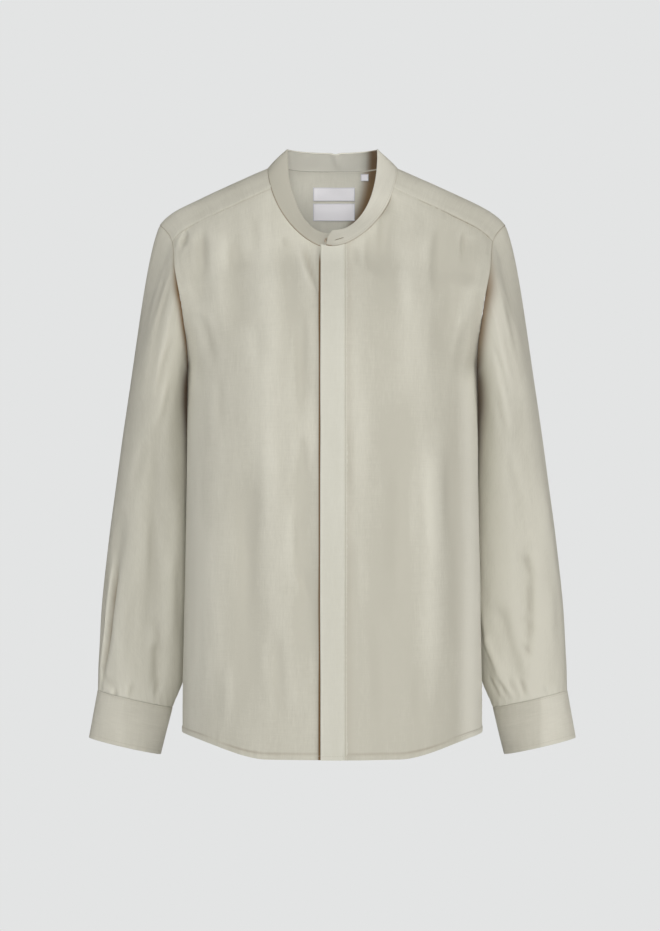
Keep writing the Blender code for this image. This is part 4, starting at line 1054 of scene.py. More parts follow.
def stitch_mesh(
    name: str, runs: Sequence[Line], pitch: float = STITCH_PITCH, radius: float = STITCH_RADIUS
) -> bpy.types.Object:
    """Rows of sewing stitches as one mesh of small beads.

    A bead is a five-sided tube along the seam: its radius grows and shrinks as a half ellipse
    and its middle stands proud of the cloth, so that both ends dip into it.

    Args:
        name: The piece's name.
        runs: The line and the normals of each row, in millimetres.
        pitch: From one bead to the next.
        radius: Half of a bead's thickness.

    Returns:
        The linked object.
    """
    stops = np.array([-1.0, -0.72, 0.0, 0.72, 1.0])
    radii = np.array([0.25, 0.8, 1.0, 0.8, 0.25]) * radius
    heights = np.array([-0.2, 0.05, 0.14, 0.05, -0.2])
    angles = np.arange(5) * FULL_TURN / 5
    corners = []
    for line, normals in runs:
        travelled = grid_distance(line, 0)
        middles = np.arange(pitch, travelled[-1] - pitch, pitch)
        centre, up = read_along(travelled, line, middles), unit(read_along(travelled, normals, middles))
        way = unit(read_along(travelled, line, middles + LOOK_AHEAD) - centre)
        side = np.cross(up, way)
        spine = centre[:, None] + way[:, None] * (stops * STITCH_LENGTH / 2)[None, :, None]
        spine = spine + up[:, None] * heights[None, :, None]
        cosines, sines = np.cos(angles)[None, None, :, None], np.sin(angles)[None, None, :, None]
        ring = side[:, None, None] * cosines + up[:, None, None] * sines
        corners.append((spine[:, :, None] + ring * radii[None, :, None, None]).reshape(-1, 25, 3))
    beads = np.concatenate(corners)
    number = np.arange(25).reshape(5, 5)
    after = np.roll(number, -1, axis=1)
    sides = np.stack([number[:-1], after[:-1], after[1:], number[1:]], axis=-1).reshape(-1, 4)
    quads = np.concatenate([sides, [[0, 4, 3, 2], [20, 21, 22, 23]]])
    triangles = np.array([[0, 2, 1], [20, 23, 24]])
    shift = (np.arange(len(beads)) * 25)[:, None, None]
    faces = (quads[None] + shift).reshape(-1, 4).tolist() + (triangles[None] + shift).reshape(-1, 3).tolist()
    mesh = bpy.data.meshes.new(name)
    mesh.from_pydata((beads.reshape(-1, 3) * MM).tolist(), [], faces)
    mesh.shade_smooth()
    return link_object(name, mesh)


@dataclass
class Workshop:
    """What every sub-assembly uses: the finishes and the bookkeeping of finished pieces."""

    finishes: Finishes

    def finish(self, piece: bpy.types.Object, finish: Finish, *nodes: str) -> bpy.types.Object:
        """Dresses a piece, joins it to the body, hides the solids that it stands for and logs its face count.

        Args:
            piece: The piece.
            finish: Its finish.
            nodes: The solids that it stands for.

        Returns:
            The piece.
        """
        piece.data.materials.append(self.finishes.material(finish))
        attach(piece, BODY_NAME)
        if nodes:
            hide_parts(*nodes)
        LOG.info("%s: %d faces", piece.name, len(piece.data.polygons))
        return piece

    def sew(self, name: str, *runs: Line) -> bpy.types.Object:
        """Rows of stitches in the sewing thread."""
        return self.finish(stitch_mesh(f"stitches_{name}", runs), self.finishes.thread)


class BodyForm:
    """The surface of the shirt's body over (across, girth), as in the solids.

    across runs from -1 at the wearer's right edge to 1 at the left edge, and girth from the
    front hem over the shoulder to the back hem.
    """

    def __init__(self) -> None:
        """Reads the table of sections and measures the neckline and the armholes."""
        c = self.columns = table_columns(BODY_ROWS)
        middle = np.stack([0.6 * c["edge"], c["y_mid"], c["z_mid"] - 0.5 * c["fall"]], axis=1)
        self.girths = grid_distance(middle, 0)
        self.girth_of = {row.name: girth for row, girth in zip(BODY_ROWS, self.girths)}
        self.ridge = self.girth_of["shoulder ridge"]
        self.front_seam, self.back_seam = self.girth_of["front yoke seam"], self.girth_of["back yoke seam"]
        self.side_z = float(self.point_at_x(NECK_HALF_WIDTH, self.ridge)[2])
        self._neck_turns = np.linspace(-FULL_TURN - 0.4, FULL_TURN, 3001)
        self._neck = self._neckline(self._neck_turns)

    def column(self, name: str, girth: Numbers) -> Array:
        """A column of the table, read smoothly at a girth."""
        return smooth_through(self.girths, self.columns[name], girth)

    def across_of(self, x: Numbers, girth: Numbers) -> Array:
        """The across value at which a section reaches x."""
        return np.arcsin(np.clip(x / self.column("edge", girth), -1.0, 1.0)) * 2 / math.pi

    def point(self, across: Numbers, girth: Numbers) -> Array:
        """The place on the outer face of the cloth.

        With s = sin(|across| pi / 2), x is edge s; the depth is (1 - (x / closing)^p)^(1/p) of
        the middle's; z falls by fall times a rounded share of s; folds push it in or out.

        Args:
            across: From -1 to 1.
            girth: From the front hem.

        Returns:
            The places.
        """
        edge = self.column("edge", girth)
        closing = edge + self.column("beyond", girth)
        share = np.sin(np.abs(across) * math.pi / 2)
        x = np.sign(across) * edge * share
        depth = oval(np.abs(x) / closing, SECTION_POWER)
        rounding = self.column("rounding", girth)
        level = (np.sqrt(share**2 + rounding**2) - rounding) / (np.sqrt(1 + rounding**2) - rounding)
        drop = (1 - TIP_SHARE) * level + TIP_SHARE * share**TIP_POWER
        z = self.column("z_mid", girth) - self.column("fall", girth) * drop
        z = z + self.column("rise", girth) * smooth_step((share - HEM_RISE_FROM) / HEM_RISE_SPAN)
        relief = fold_relief(BACK_FOLDS, x, z) * smooth_step((girth - self.back_seam) / CALM_BY_YOKE)
        relief -= fold_relief(FRONT_FOLDS, x, z) * smooth_step((self.front_seam - girth) / CALM_BY_YOKE)
        y_mid = self.column("y_mid", girth)
        y = SIDE_LINE_Y + (y_mid - SIDE_LINE_Y) * depth + relief * smooth_step((1 - share) / 0.08)
        return np.stack(np.broadcast_arrays(x, y, z), axis=-1)

    def point_at_x(self, x: Numbers, girth: Numbers) -> Array:
        """The place at x on the section at a girth."""
        return self.point(self.across_of(x, girth), girth)

    def girth_where(self, coordinate: int, x: Numbers, target: Numbers, low: float, high: float) -> Array:
        """The girth between low and high where a coordinate reaches target, by halving.

        Args:
            coordinate: Number of the coordinate.
            x: Where to look.
            target: The value to reach.
            low: Least girth.
            high: Greatest girth.

        Returns:
            The girth at each x.
        """
        low, high = np.full(np.shape(x), float(low)), np.full(np.shape(x), float(high))
        rising = self.point_at_x(x, high)[..., coordinate] > self.point_at_x(x, low)[..., coordinate]
        for _ in range(36):
            middle = (low + high) / 2
            short = (self.point_at_x(x, middle)[..., coordinate] < target) == rising
            low, high = np.where(short, middle, low), np.where(short, high, middle)
        return (low + high) / 2

    def _neckline(self, turn: Array) -> tuple[Array, Array]:
        """(across, girth) on the neck seam at a turn, worked out from its two half ovals.

        Args:
            turn: Turns from the centre front.

        Returns:
            The two coordinates.
        """
        x = NECK_HALF_WIDTH * np.sin(turn)
        share = np.abs(np.sin(turn))
        drop, depth = oval(share, NECK_FRONT_POWER), oval(share, NECK_BACK_POWER)
        low, high = self.girth_of["front armhole turn"], self.girth_of["back yoke seam"]
        front = self.girth_where(2, x, self.side_z - NECK_FRONT_DROP * drop, low, self.ridge)
        back = self.girth_where(1, x, SIDE_LINE_Y + NECK_BACK_DEPTH * depth, self.ridge, high)
        girth = np.where(np.cos(turn) >= 0, front, back)
        return self.across_of(x, girth), girth

    def neckline(self, turn: Numbers) -> tuple[Array, Array]:
        """(across, girth) on the neck seam; turn is 0 at the centre front, growing to the left."""
        return tuple(np.interp(turn, self._neck_turns, values) for values in self._neck)

    def neck_girth_at(self, x: Numbers) -> Array:
        """Girth of the neck seam on the front, at x."""
        return self.neckline(np.arcsin(x / NECK_HALF_WIDTH))[1]

    def turn_where(self, target: float) -> float:
        """The turn, left of the centre front, at which the neckline reaches a girth."""
        turns = np.linspace(0.0, math.pi / 2, 400)
        return float(np.interp(target, self.neckline(turns)[1], turns))

    def armhole_table(self, underarm: str) -> tuple[Array, Array]:
        """Girth against the share of the armhole's length, from the shoulder to the underarm."""
        girths = np.linspace(self.ridge, self.girth_of[underarm], 400)
        length = grid_distance(self.point(1.0, girths), 0)
        return length / length[-1], girths


def neck_shade(points: Array, pale: float) -> Array:
    """Painted light inside the neck, and painted shade next to the opening's edge on the wearer's left.

    From the front the opening's edge is at x = half width (1 - drop^p)^(1 / p), with drop the
    share of the way down from the band's corner to its front.

    Args:
        points: Places on the cloth.
        pale: How much painted light lies away from that edge.

    Returns:
        The shade at each place.
    """
    fall = BAND_TOP_SIDE_Z - BAND_TOP_FRONT_Z
    drop = np.clip((BAND_TOP_SIDE_Z - points[..., 2]) / fall, 0, 1)
    edge = BAND_TOP_HALF_WIDTH * oval(drop, BAND_TOP_POWER)
    return blend(-pale, NECK_SHADE, smooth_step(1.2 - (edge - points[..., 0]) / NECK_SHADE_REACH))


def body_cloth(body: BodyForm, cells: tuple[Array, Array], keep: Optional[Array] = None) -> ClothGrid:
    """Cloth on the body at (across, girth), its weave laid straight down the girth, with painted light and
    shade on its large folds.

    Args:
        body: The body's form.
        cells: (across, girth) of each place.
        keep: The cells that are cloth, or all.

    Returns:
        The grid.
    """
    grid = ClothGrid(body.point(*cells), keep=keep)
    grid.flat = np.stack([HALF_CHEST * cells[0], cells[1]], axis=-1)
    x, y, z = np.moveaxis(grid.points, -1, 0)
    folds = np.where(y < SIDE_LINE_Y, fold_relief(FRONT_FOLDS, x, z), fold_relief(BACK_FOLDS, x, z))
    # painted light on the folds' ridges and painted shade in their troughs
    grid.light = FOLD_LIGHT * folds
    return grid


@dataclass
class FrontPanel:
    """One front of the shirt, from the opening to the side seam and the armhole."""

    body: BodyForm
    side: Side
    edge_x: float
    rows: int = 250
    neck_rows: int = 70
    columns: int = 84
    strip_columns: int = 12
    flat: tuple[float, float] = (0.300, 0.740)

    def lift(self, points: Array) -> Array:
        """How far the left front stands over the right one, by distance from the centre.

        Args:
            points: Places on the body.

        Returns:
            The lift at each.
        """
        if self.side is Side.RIGHT:
            return np.zeros(points.shape[:2])
        away = (points[..., 0] - LIFT_FULL_X) / (LIFT_NONE_X - LIFT_FULL_X)
        return OVERLAP_LIFT * (1 - smooth_step(away))

    def cells(self, up: Array, out: Array) -> tuple[Array, Array]:
        """The front over (up, out), as (across, girth) on the body.

        up is 0 to 1 from the hem to the level of the neck's corner and 1 to 2 along the
        neckline; out is -1 to 0 over the strip at the opening and 0 to 1 on to the side.

        Args:
            up: From 0 to 2.
            out: From -1 to 1.

        Returns:
            The two coordinates.
        """
        body, side = self.body, self.side.value
        corner_x = side * STRIP_X
        corner_turn = math.asin(corner_x / NECK_HALF_WIDTH)
        corner_girth = float(body.neckline(corner_turn)[1])
        match = body.girth_of["front chest"]
        seam_turn = side * body.turn_where(body.front_seam)
        straight, curved = np.clip(up, 0.0, 1.0), np.clip(up - 1.0, 0.0, 1.0)
        strip_x = blend(corner_x, self.edge_x, np.clip(-out, 0.0, 1.0))
        strip_girth = body.neck_girth_at(strip_x) * straight
        neck_across, neck_girth = body.neckline(blend(corner_turn, seam_turn, curved**1.3))
        on_neck = up > 1.0
        inner_across = np.where(on_neck, neck_across, body.across_of(corner_x, corner_girth * straight))
        inner_girth = np.where(on_neck, neck_girth, corner_girth * straight)
        outer_girth = np.where(on_neck, blend(match, body.front_seam, curved), match * straight)
        share = np.clip(out, 0.0, 1.0)
        in_strip = (out < 0) & (up <= 1.0)
        across = np.where(in_strip, body.across_of(strip_x, strip_girth), blend(inner_across, side, share))
        return across, np.where(in_strip, strip_girth, blend(inner_girth, outer_girth, share))

    def grid(self) -> ClothGrid:
        """The panel's grid with its hem, creases and puckers, and its painted light and shade.

        Returns:
            The grid.
        """
        neck = 1 + np.linspace(0, 1, self.neck_rows + 1)[1:]
        up = np.concatenate([with_edges(self.rows, 600.0, last=False), neck])
        strip = -with_edges(self.strip_columns, abs(self.edge_x - self.side.value * STRIP_X))[:0:-1]
        out = np.concatenate([strip, with_edges(self.columns, 215.0)])
        up_grid, out_grid = np.meshgrid(up, out, indexing="ij")
        keep = (up[:-1, None] < 1) | (out[None, :-1] >= 0)
        grid = body_cloth(self.body, self.cells(up_grid, out_grid), keep)
        x, z, edge = grid.points[..., 0], grid.points[..., 2], grid.to_last_column
        creases = 1.7 * crease_relief(FRONT_CREASES, x, z) * smooth_step(edge / 14.0)
        grid.relief = self.lift(grid.points) + creases
        # painted shade along the side edge, in the deep creases, in a thin line above the hem and along the
        # armhole seam
        side_edge_shade = bell(edge, 2.6) * smooth_step((-235.0 - z) / 60.0)
        grid.shade = np.maximum(deep_share(creases), side_edge_shade * (0.7 if self.side is Side.RIGHT else 0.3))
        armhole = bell(edge, 0.8) * smooth_step((z + 250.0) / 40.0)
        lines = np.maximum(0.34 * grid.hem_line(grid.along), 0.5 * armhole)
        grid.shade = np.maximum(grid.shade, lines)
        # painted light near the side edges, and painted shade over the rest, darker towards the bottom
        by_edge = smooth_step((np.abs(x) - 148.0) / 25.0) * smooth_step((-240.0 - z) / 40.0)
        dimmer, dimmer_low = (0.0, 0.5) if self.side is Side.RIGHT else (0.4, 0.6)
        dimmer = dimmer + dimmer_low * smooth_step((-440.0 - z) / 180.0)
        grid.light = grid.light + 1.1 * by_edge - dimmer * (1 - by_edge)
        grid.roughen(11 if self.side is Side.LEFT else 29, 0.7)
        if self.side is Side.RIGHT:
            # painted shadow that the fly's edge casts on the right front
            line_width = 1.9 + 0.5 * soft_noise(z / 60.0, x * 0, 7)
            fly_shadow = np.exp(-(((x - FLY_EDGE_X + 0.9) / line_width) ** 4))
            grid.shade = np.maximum(grid.shade, 0.97 * fly_shadow * smooth_step((-104.0 - z) / 20.0))
        else:
            # a faint darker band beside the fly's stitching, and painted light near the left side edge
            grid.shade = np.maximum(grid.shade, 0.07 * bell(x, 4.0, FLY_STITCH_X + 3.5))
            grid.shade -= 0.6 * by_edge * (1 - smooth_step(grid.shade / 0.1))
        self._seams(grid, up_grid)
        return grid

    def _seams(self, grid: ClothGrid, up: Array) -> None:
        """Hem ledge and its puckers, the side seam's welt and the armhole's pull.

        Args:
            grid: The panel's grid.
            up: Up, at each place.
        """
        grid.ledge(grid.along)
        relief, edge = grid.relief, grid.to_last_column
        relief += puckers(grid.along - HEM_STITCH, grid.across, 3, reach=7.0, height=0.5)
        below_arm = 1 - smooth_step((up - 0.86) / 0.08)
        relief += 0.25 * bell(edge, 3.0, 3.5) * below_arm
        relief += puckers(edge, grid.along, 5, reach=7.0, height=0.25) * (0.4 + 0.6 * (1 - below_arm))
        relief += puckers(grid.to_last_row, grid.across, 8, reach=8.0, height=0.22) * (up > 1)

    def dress(self, shop: Workshop) -> None:
        """Builds the panel and its hem stitching.

        Args:
            shop: Finishes and bookkeeping.
        """
        grid, word = self.grid(), self.side.name.lower()
        piece = shop.finish(grid.build(f"linen_front_{word}"), shop.finishes.linen, f"front_{word}")
        stitches = shop.sew(f"hem_front_{word}", grid.seam(grid.along, HEM_STITCH, 0))
        grid.area()


@dataclass
class FlyStrip:
    """The fly: a folded strip on the left front that hides the buttons, and its stitching."""

    body: BodyForm
    rows: int = 260
    columns: int = 24
    past_stitch: float = 2.4
    flat: tuple[float, float] = (0.0330, 0.645)

    def grid(self) -> ClothGrid:
        """The strip's grid: full height up to the stitch line, then down into the panel, with a painted
        highlight on its folded edge.

        Returns:
            The grid.
        """
        up, out = np.linspace(0, 1, self.rows + 1), with_edges(self.columns, 32.0)
        up_grid, out_grid = np.meshgrid(up, out, indexing="ij")
        x = blend(FLY_EDGE_X, FLY_STITCH_X + self.past_stitch, out_grid)
        fitted = smooth_step((up_grid - FLY_FITTED) / (1 - FLY_FITTED))
        girth = self.body.neck_girth_at(x) * up_grid - 0.4 * fitted
        grid = body_cloth(self.body, (self.body.across_of(x, girth), girth))
        z, edge, stitch = grid.points[..., 2], x - FLY_EDGE_X, x - FLY_STITCH_X
        puff = 0.5 * soft_noise(z / 70.0, x / 40.0, 31) * smooth_step(-stitch / 12.0)
        sunk = smooth_step((stitch + 2.6) / 2.4)
        past = smooth_step((stitch - 0.6) / 1.6)
        grid.relief = blend(OVERLAP_LIFT + 1.7 + puff, OVERLAP_LIFT + 0.75, sunk) - 0.55 * bell(stitch, 0.8)
        grid.relief -= 1.1 * past + 0.75 * bell(edge, 0.75)
        # painted highlight along the folded edge, and a thin darker line along the stitching
        grid.light = 1.6 * bell(edge, 1.5, 1.2)
        grid.shade = 0.22 * bell(stitch, 0.7)
        grid.relief += crease_relief(FRONT_CREASES, grid.points[..., 0], z) * 0.5
        grid.relief += puckers(stitch, grid.along, 13, reach=7.0, height=0.28)
        grid.relief += puckers(grid.along - HEM_STITCH, grid.across, 4, reach=7.0, height=0.25)
        grid.wall = HEM_WALL
        return grid

    def dress(self, shop: Workshop) -> None:
        """Builds the strip with its long stitch line and its hem's.

        Args:
            shop: Finishes and bookkeeping.
        """
        grid = self.grid()
        piece = shop.finish(grid.build("linen_fly"), shop.finishes.placket, "fly")
        long_line = grid.seam(grid.points[..., 0] - FLY_EDGE_X, FLY_STITCH_X - FLY_EDGE_X, 1)
        stitches = shop.sew("fly", long_line, grid.seam(grid.along, HEM_STITCH, 0))
        cloth = {"flat": self.flat, "area": grid.area()}


@dataclass
class YokePanel:
    """The yoke, over the shoulders from the front seams to the back seam."""

    body: BodyForm
    side_rows: int = 70
    back_rows: int = 150
    columns: int = 48
    overlap: float = 1.2
    stitch: float = 1.6  # from the seam
    flat: tuple[float, float] = (0.520, 0.190)

    def cells(self, along: Array, out: Array) -> tuple[Array, Array]:
        """(across, girth) of the yoke: along runs round the neck, 0 to 3, out to the far edge.

        Args:
            along: From 0 to 3.
            out: From 0 to 1.

        Returns:
            The two coordinates.
        """
        body = self.body
        front, back = body.front_seam - self.overlap, body.back_seam + self.overlap
        seam_turn = body.turn_where(front)
        stops = (0.0, 1.0, 2.0, 3.0)
        corner = YOKE_BACK_CORNER_TURN
        turn = np.interp(along, stops, (seam_turn, corner, FULL_TURN - corner, FULL_TURN - seam_turn))
        neck_across, neck_girth = body.neckline(turn - FULL_TURN)
        outer_across = np.interp(along, stops, (1.0, 1.0, -1.0, -1.0))
        outer_girth = np.interp(along, stops, (front, back, back, front))
        return blend(neck_across, outer_across, out), blend(neck_girth, outer_girth, out)

    def grid(self) -> ClothGrid:
        """The yoke's grid: proud of the fronts and the back, with a groove and painted shade at each seam.

        Returns:
            The grid.
        """
        side = with_edges(self.side_rows, 150.0, last=False)
        along = np.concatenate([side, 1 + np.linspace(0, 1, self.back_rows + 1)[1:-1], 3 - side[::-1]])
        out = with_edges(self.columns, 130.0)
        along_grid, out_grid = np.meshgrid(along, out, indexing="ij")
        grid = body_cloth(self.body, self.cells(along_grid, out_grid))
        x, y, z = np.moveaxis(grid.points, -1, 0)
        grid.relief += crease_relief(YOKE_CREASES, x, z) * (y > 0)
        grid.roughen(41, 0.35)
        ends = np.minimum(grid.along, grid.to_last_row)
        middle = (along_grid > 1) & (along_grid < 2)
        to_back = np.where(middle, grid.to_last_column, 99.0)
        for edge in (ends, to_back):
            grid.relief += 0.5 * (1 - smooth_step((edge - 5.0) / 9.0)) - 0.6 * bell(edge, 0.7, self.stitch)
        grid.relief += puckers(ends, grid.across, 17, height=0.28)
        grid.relief += puckers(to_back, grid.along, 19, height=0.28)
        grid.relief -= 0.4 * bell(ends, 0.5)
        # painted shade along the seams, darker on the wearer's left; inside, painted light and painted shade
        # by the neck opening
        grid.shade = 0.42 * bell(np.minimum(ends, to_back), 0.9) * (0.75 + 0.25 * np.sign(x))
        grid.inner_shade = neck_shade(grid.points, YOKE_PAINTED_LIGHT)
        return grid

    def dress(self, shop: Workshop) -> None:
        """Builds the yoke and the stitching along its seams.

        Args:
            shop: Finishes and bookkeeping.
        """
        grid = self.grid()
        piece = shop.finish(grid.build("linen_yoke"), shop.finishes.linen, "yoke")
        fronts = [grid.seam(grid.along, self.stitch, 0), grid.seam(-grid.to_last_row, -self.stitch, 0)]
        rows = slice(self.side_rows + 4, -self.side_rows - 4)
        places, normals = grid.seam(grid.across, grid.across[:, -1] - self.stitch, 1)
        stitches = shop.sew("yoke", *fronts, (places[rows], normals[rows]))
        grid.area()


@dataclass
class BackPanel:
    """The back, from the yoke seam down to the hem."""

    body: BodyForm
    rows: int = 225
    columns: int = 160
    flat: tuple[float, float] = (0.540, 0.680)

    def grid(self) -> ClothGrid:
        """The panel's grid with its hem, creases and puckers.

        Returns:
            The grid.
        """
        down = with_edges(self.rows, 650.0)
        girth = blend(self.body.back_seam, self.body.girths[-1], down)
        across = 2 * with_edges(self.columns, 510.0) - 1
        girth_grid, across_grid = np.meshgrid(girth, across, indexing="ij")
        grid = body_cloth(self.body, (across_grid, girth_grid))
        x, z = grid.points[..., 0], grid.points[..., 2]
        edge, to_hem = np.minimum(grid.across, grid.to_last_column), grid.to_last_row
        calm = smooth_step(edge / 14.0) * smooth_step(grid.along / 10.0)
        grid.relief += crease_relief(BACK_CREASES, x, z) * calm
        grid.shade = 0.3 * grid.hem_line(to_hem)
        grid.roughen(53)
        grid.ledge(to_hem)
        grid.relief += puckers(to_hem - HEM_STITCH, grid.across, 21, reach=7.0, height=0.34)
        grid.relief += puckers(grid.along, grid.across, 23, reach=8.0, height=0.22)
        grid.relief += puckers(edge, grid.along, 25, reach=7.0, height=0.22)
        return grid

    def dress(self, shop: Workshop) -> None:
        """Builds the back and its hem stitching.

        Args:
            shop: Finishes and bookkeeping.
        """
        grid = self.grid()
        piece = shop.finish(grid.build("linen_back"), shop.finishes.linen, "back")
        stitches = shop.sew("hem_back", grid.seam(grid.along, grid.along[-1] - HEM_STITCH, 0))
        grid.area()


@dataclass
class CollarBand:
    """The band collar: one stiffened strip round the neck, its ends lapped at the front."""

    body: BodyForm
    columns: int = 380
    rows: int = 30
    foot: float = -1.2
    centre: Place = (0.0, -8.0, -30.0)
    stitch: float = 2.6  # from the foot
    slit_x: tuple[float, float] = (2.6, 14.4)
    slit_z: float = -94.6  # at its first end
    slit_rise: float = 0.31
    slit_stitch: float = 0.8  # beside the slit
    flat: tuple[float, float] = (0.420, 0.036)

    def places(self, along: Array, rise: Array) -> Array:
        """The band over (along, rise): straight lines from the neck seam to a smaller ring.

        Args:
            along: From 0, the under end, to 1.
            rise: From 0, the seam, to 1.

        Returns:
            The places.
        """
        end_x = BAND_END_X + BAND_END_ROUND * np.clip(rise, 0, 1) ** 3
        under = math.asin(BAND_UNDER_X / NECK_HALF_WIDTH)
        turn = blend(under, np.arcsin(end_x / NECK_HALF_WIDTH) - FULL_TURN, along)
        foot = self.body.point(*self.body.neckline(turn))
        reach = oval(np.abs(np.sin(turn)), BAND_TOP_POWER)
        front = np.cos(turn) >= 0
        top_y = blend(SIDE_LINE_Y, np.where(front, BAND_TOP_FRONT_Y, BAND_TOP_BACK_Y), reach)
        top_z = blend(BAND_TOP_SIDE_Z, np.where(front, BAND_TOP_FRONT_Z, BAND_TOP_BACK_Z), reach)
        top_z = top_z - BAND_CORNER_DROP * np.exp(-(1 - np.abs(np.sin(turn))) / BAND_CORNER_SHARE)
        leaning = np.stack([BAND_TOP_HALF_WIDTH * np.sin(turn), top_y, top_z], axis=-1) - foot
        start = self.foot / np.linalg.norm(leaning, axis=-1)
        share = blend(start, 1.0, rise)[..., None]
        outward = np.stack([np.sin(turn), -np.cos(turn), np.zeros_like(turn)], axis=-1)
        return foot + leaning * share + outward * (4 * rise * (1 - rise))[..., None]

    def grid(self) -> ClothGrid:
        """The band's grid, its upper end lifted over the button, with one soft dent behind, and painted light
        and shade by side and along its foot seam.

        Returns:
            The grid.
        """
        along, rise = with_edges(self.columns, 430.0), with_edges(self.rows, 34.0)
        along_grid, rise_grid = np.meshgrid(along, rise, indexing="ij")
        grid = ClothGrid(self.places(along_grid, rise_grid), centre=self.centre, wall=FUSED_WALL)
        turns_left, x = (1 - along_grid) * FULL_TURN, grid.points[..., 0]
        grid.relief = 0.45 + BAND_END_LIFT * (1 - smooth_step(turns_left / BAND_LIFT_TURN))
        grid.relief += 0.45 * soft_noise(grid.along / 34.0, grid.across / 30.0, 61)
        # inside: painted light, painted shade by the opening's edge, and a painted shade line along the foot
        # seam
        foot_line = bell(grid.across, 0.9, 1.2)
        grid.inner_shade = blend(neck_shade(grid.points, BAND_PAINTED_LIGHT), 0.12, foot_line)
        # painted light on the wearer's left half and painted shade on the right half; painted shade along the
        # foot seam, darker on the wearer's right
        grid.light = np.where(x > 0, 0.9, 1.2) * np.tanh(x / 18.0)
        grid.shade = 0.7 * bell(grid.across, 0.8) * (0.75 - 0.25 * np.sign(x))
        dent = bell(x + 0.2 * grid.points[..., 2], 4.0, 8.0) * (grid.points[..., 1] > 0)
        grid.relief -= 2.2 * dent * smooth_step((rise_grid - 0.1) / 0.6)
        for edge in (grid.across, grid.to_last_column, grid.to_last_row):
            grid.relief -= 0.5 * bell(edge, 0.7)
        grid.relief += puckers(grid.across, grid.along, 33, reach=5.0, height=0.16)
        grid.relief -= 0.25 * bell(grid.across, 0.7, self.stitch)
        return grid

    def buttonhole(self, grid: ClothGrid) -> list[Line]:
        """Two close rows of stitches, one on each side of the buttonhole's slit, and the line of the slit's
        painted shadow.

        Args:
            grid: The band's grid.

        Returns:
            The three lines.
        """
        last = grid.points.shape[0] // 2
        places, ways = grid.surface()[last:].reshape(-1, 3), grid.normals[last:].reshape(-1, 3)
        behind = 1e3 * (grid.points[last:, :, 1] >= 0).reshape(-1)[None]
        x, rows = np.linspace(*self.slit_x, 9), []
        for offset in (-self.slit_stitch, self.slit_stitch, 0.0):
            z = self.slit_z + self.slit_rise * (x - self.slit_x[0]) + offset
            away = np.hypot(places[None, :, 0] - x[:, None], places[None, :, 2] - z[:, None]) + behind
            weights = bell(away, 1.1)
            weights /= weights.sum(axis=1, keepdims=True)
            line = weights @ places
            line[:, 0], line[:, 2] = x, z
            rows.append((line, unit(weights @ ways)))
        return rows

    def dress(self, shop: Workshop) -> None:
        """Builds the band, the stitching along its foot and the buttonhole, its slit a dark cord of painted
        shadow.

        Args:
            shop: Finishes and bookkeeping.
        """
        grid = self.grid()
        piece = shop.finish(grid.build("linen_collar_band"), shop.finishes.fused, "collar_band")
        *rows, slit = self.buttonhole(grid)
        stitches = shop.sew("collar", grid.seam(grid.across, self.stitch, 1), *rows)
        # the slit: a dark cord of painted shadow
        hole = stitch_mesh("collar_buttonhole_painted_shadow", [slit], pitch=1.2, radius=0.42)
        shop.finish(hole, shop.finishes.shadow)


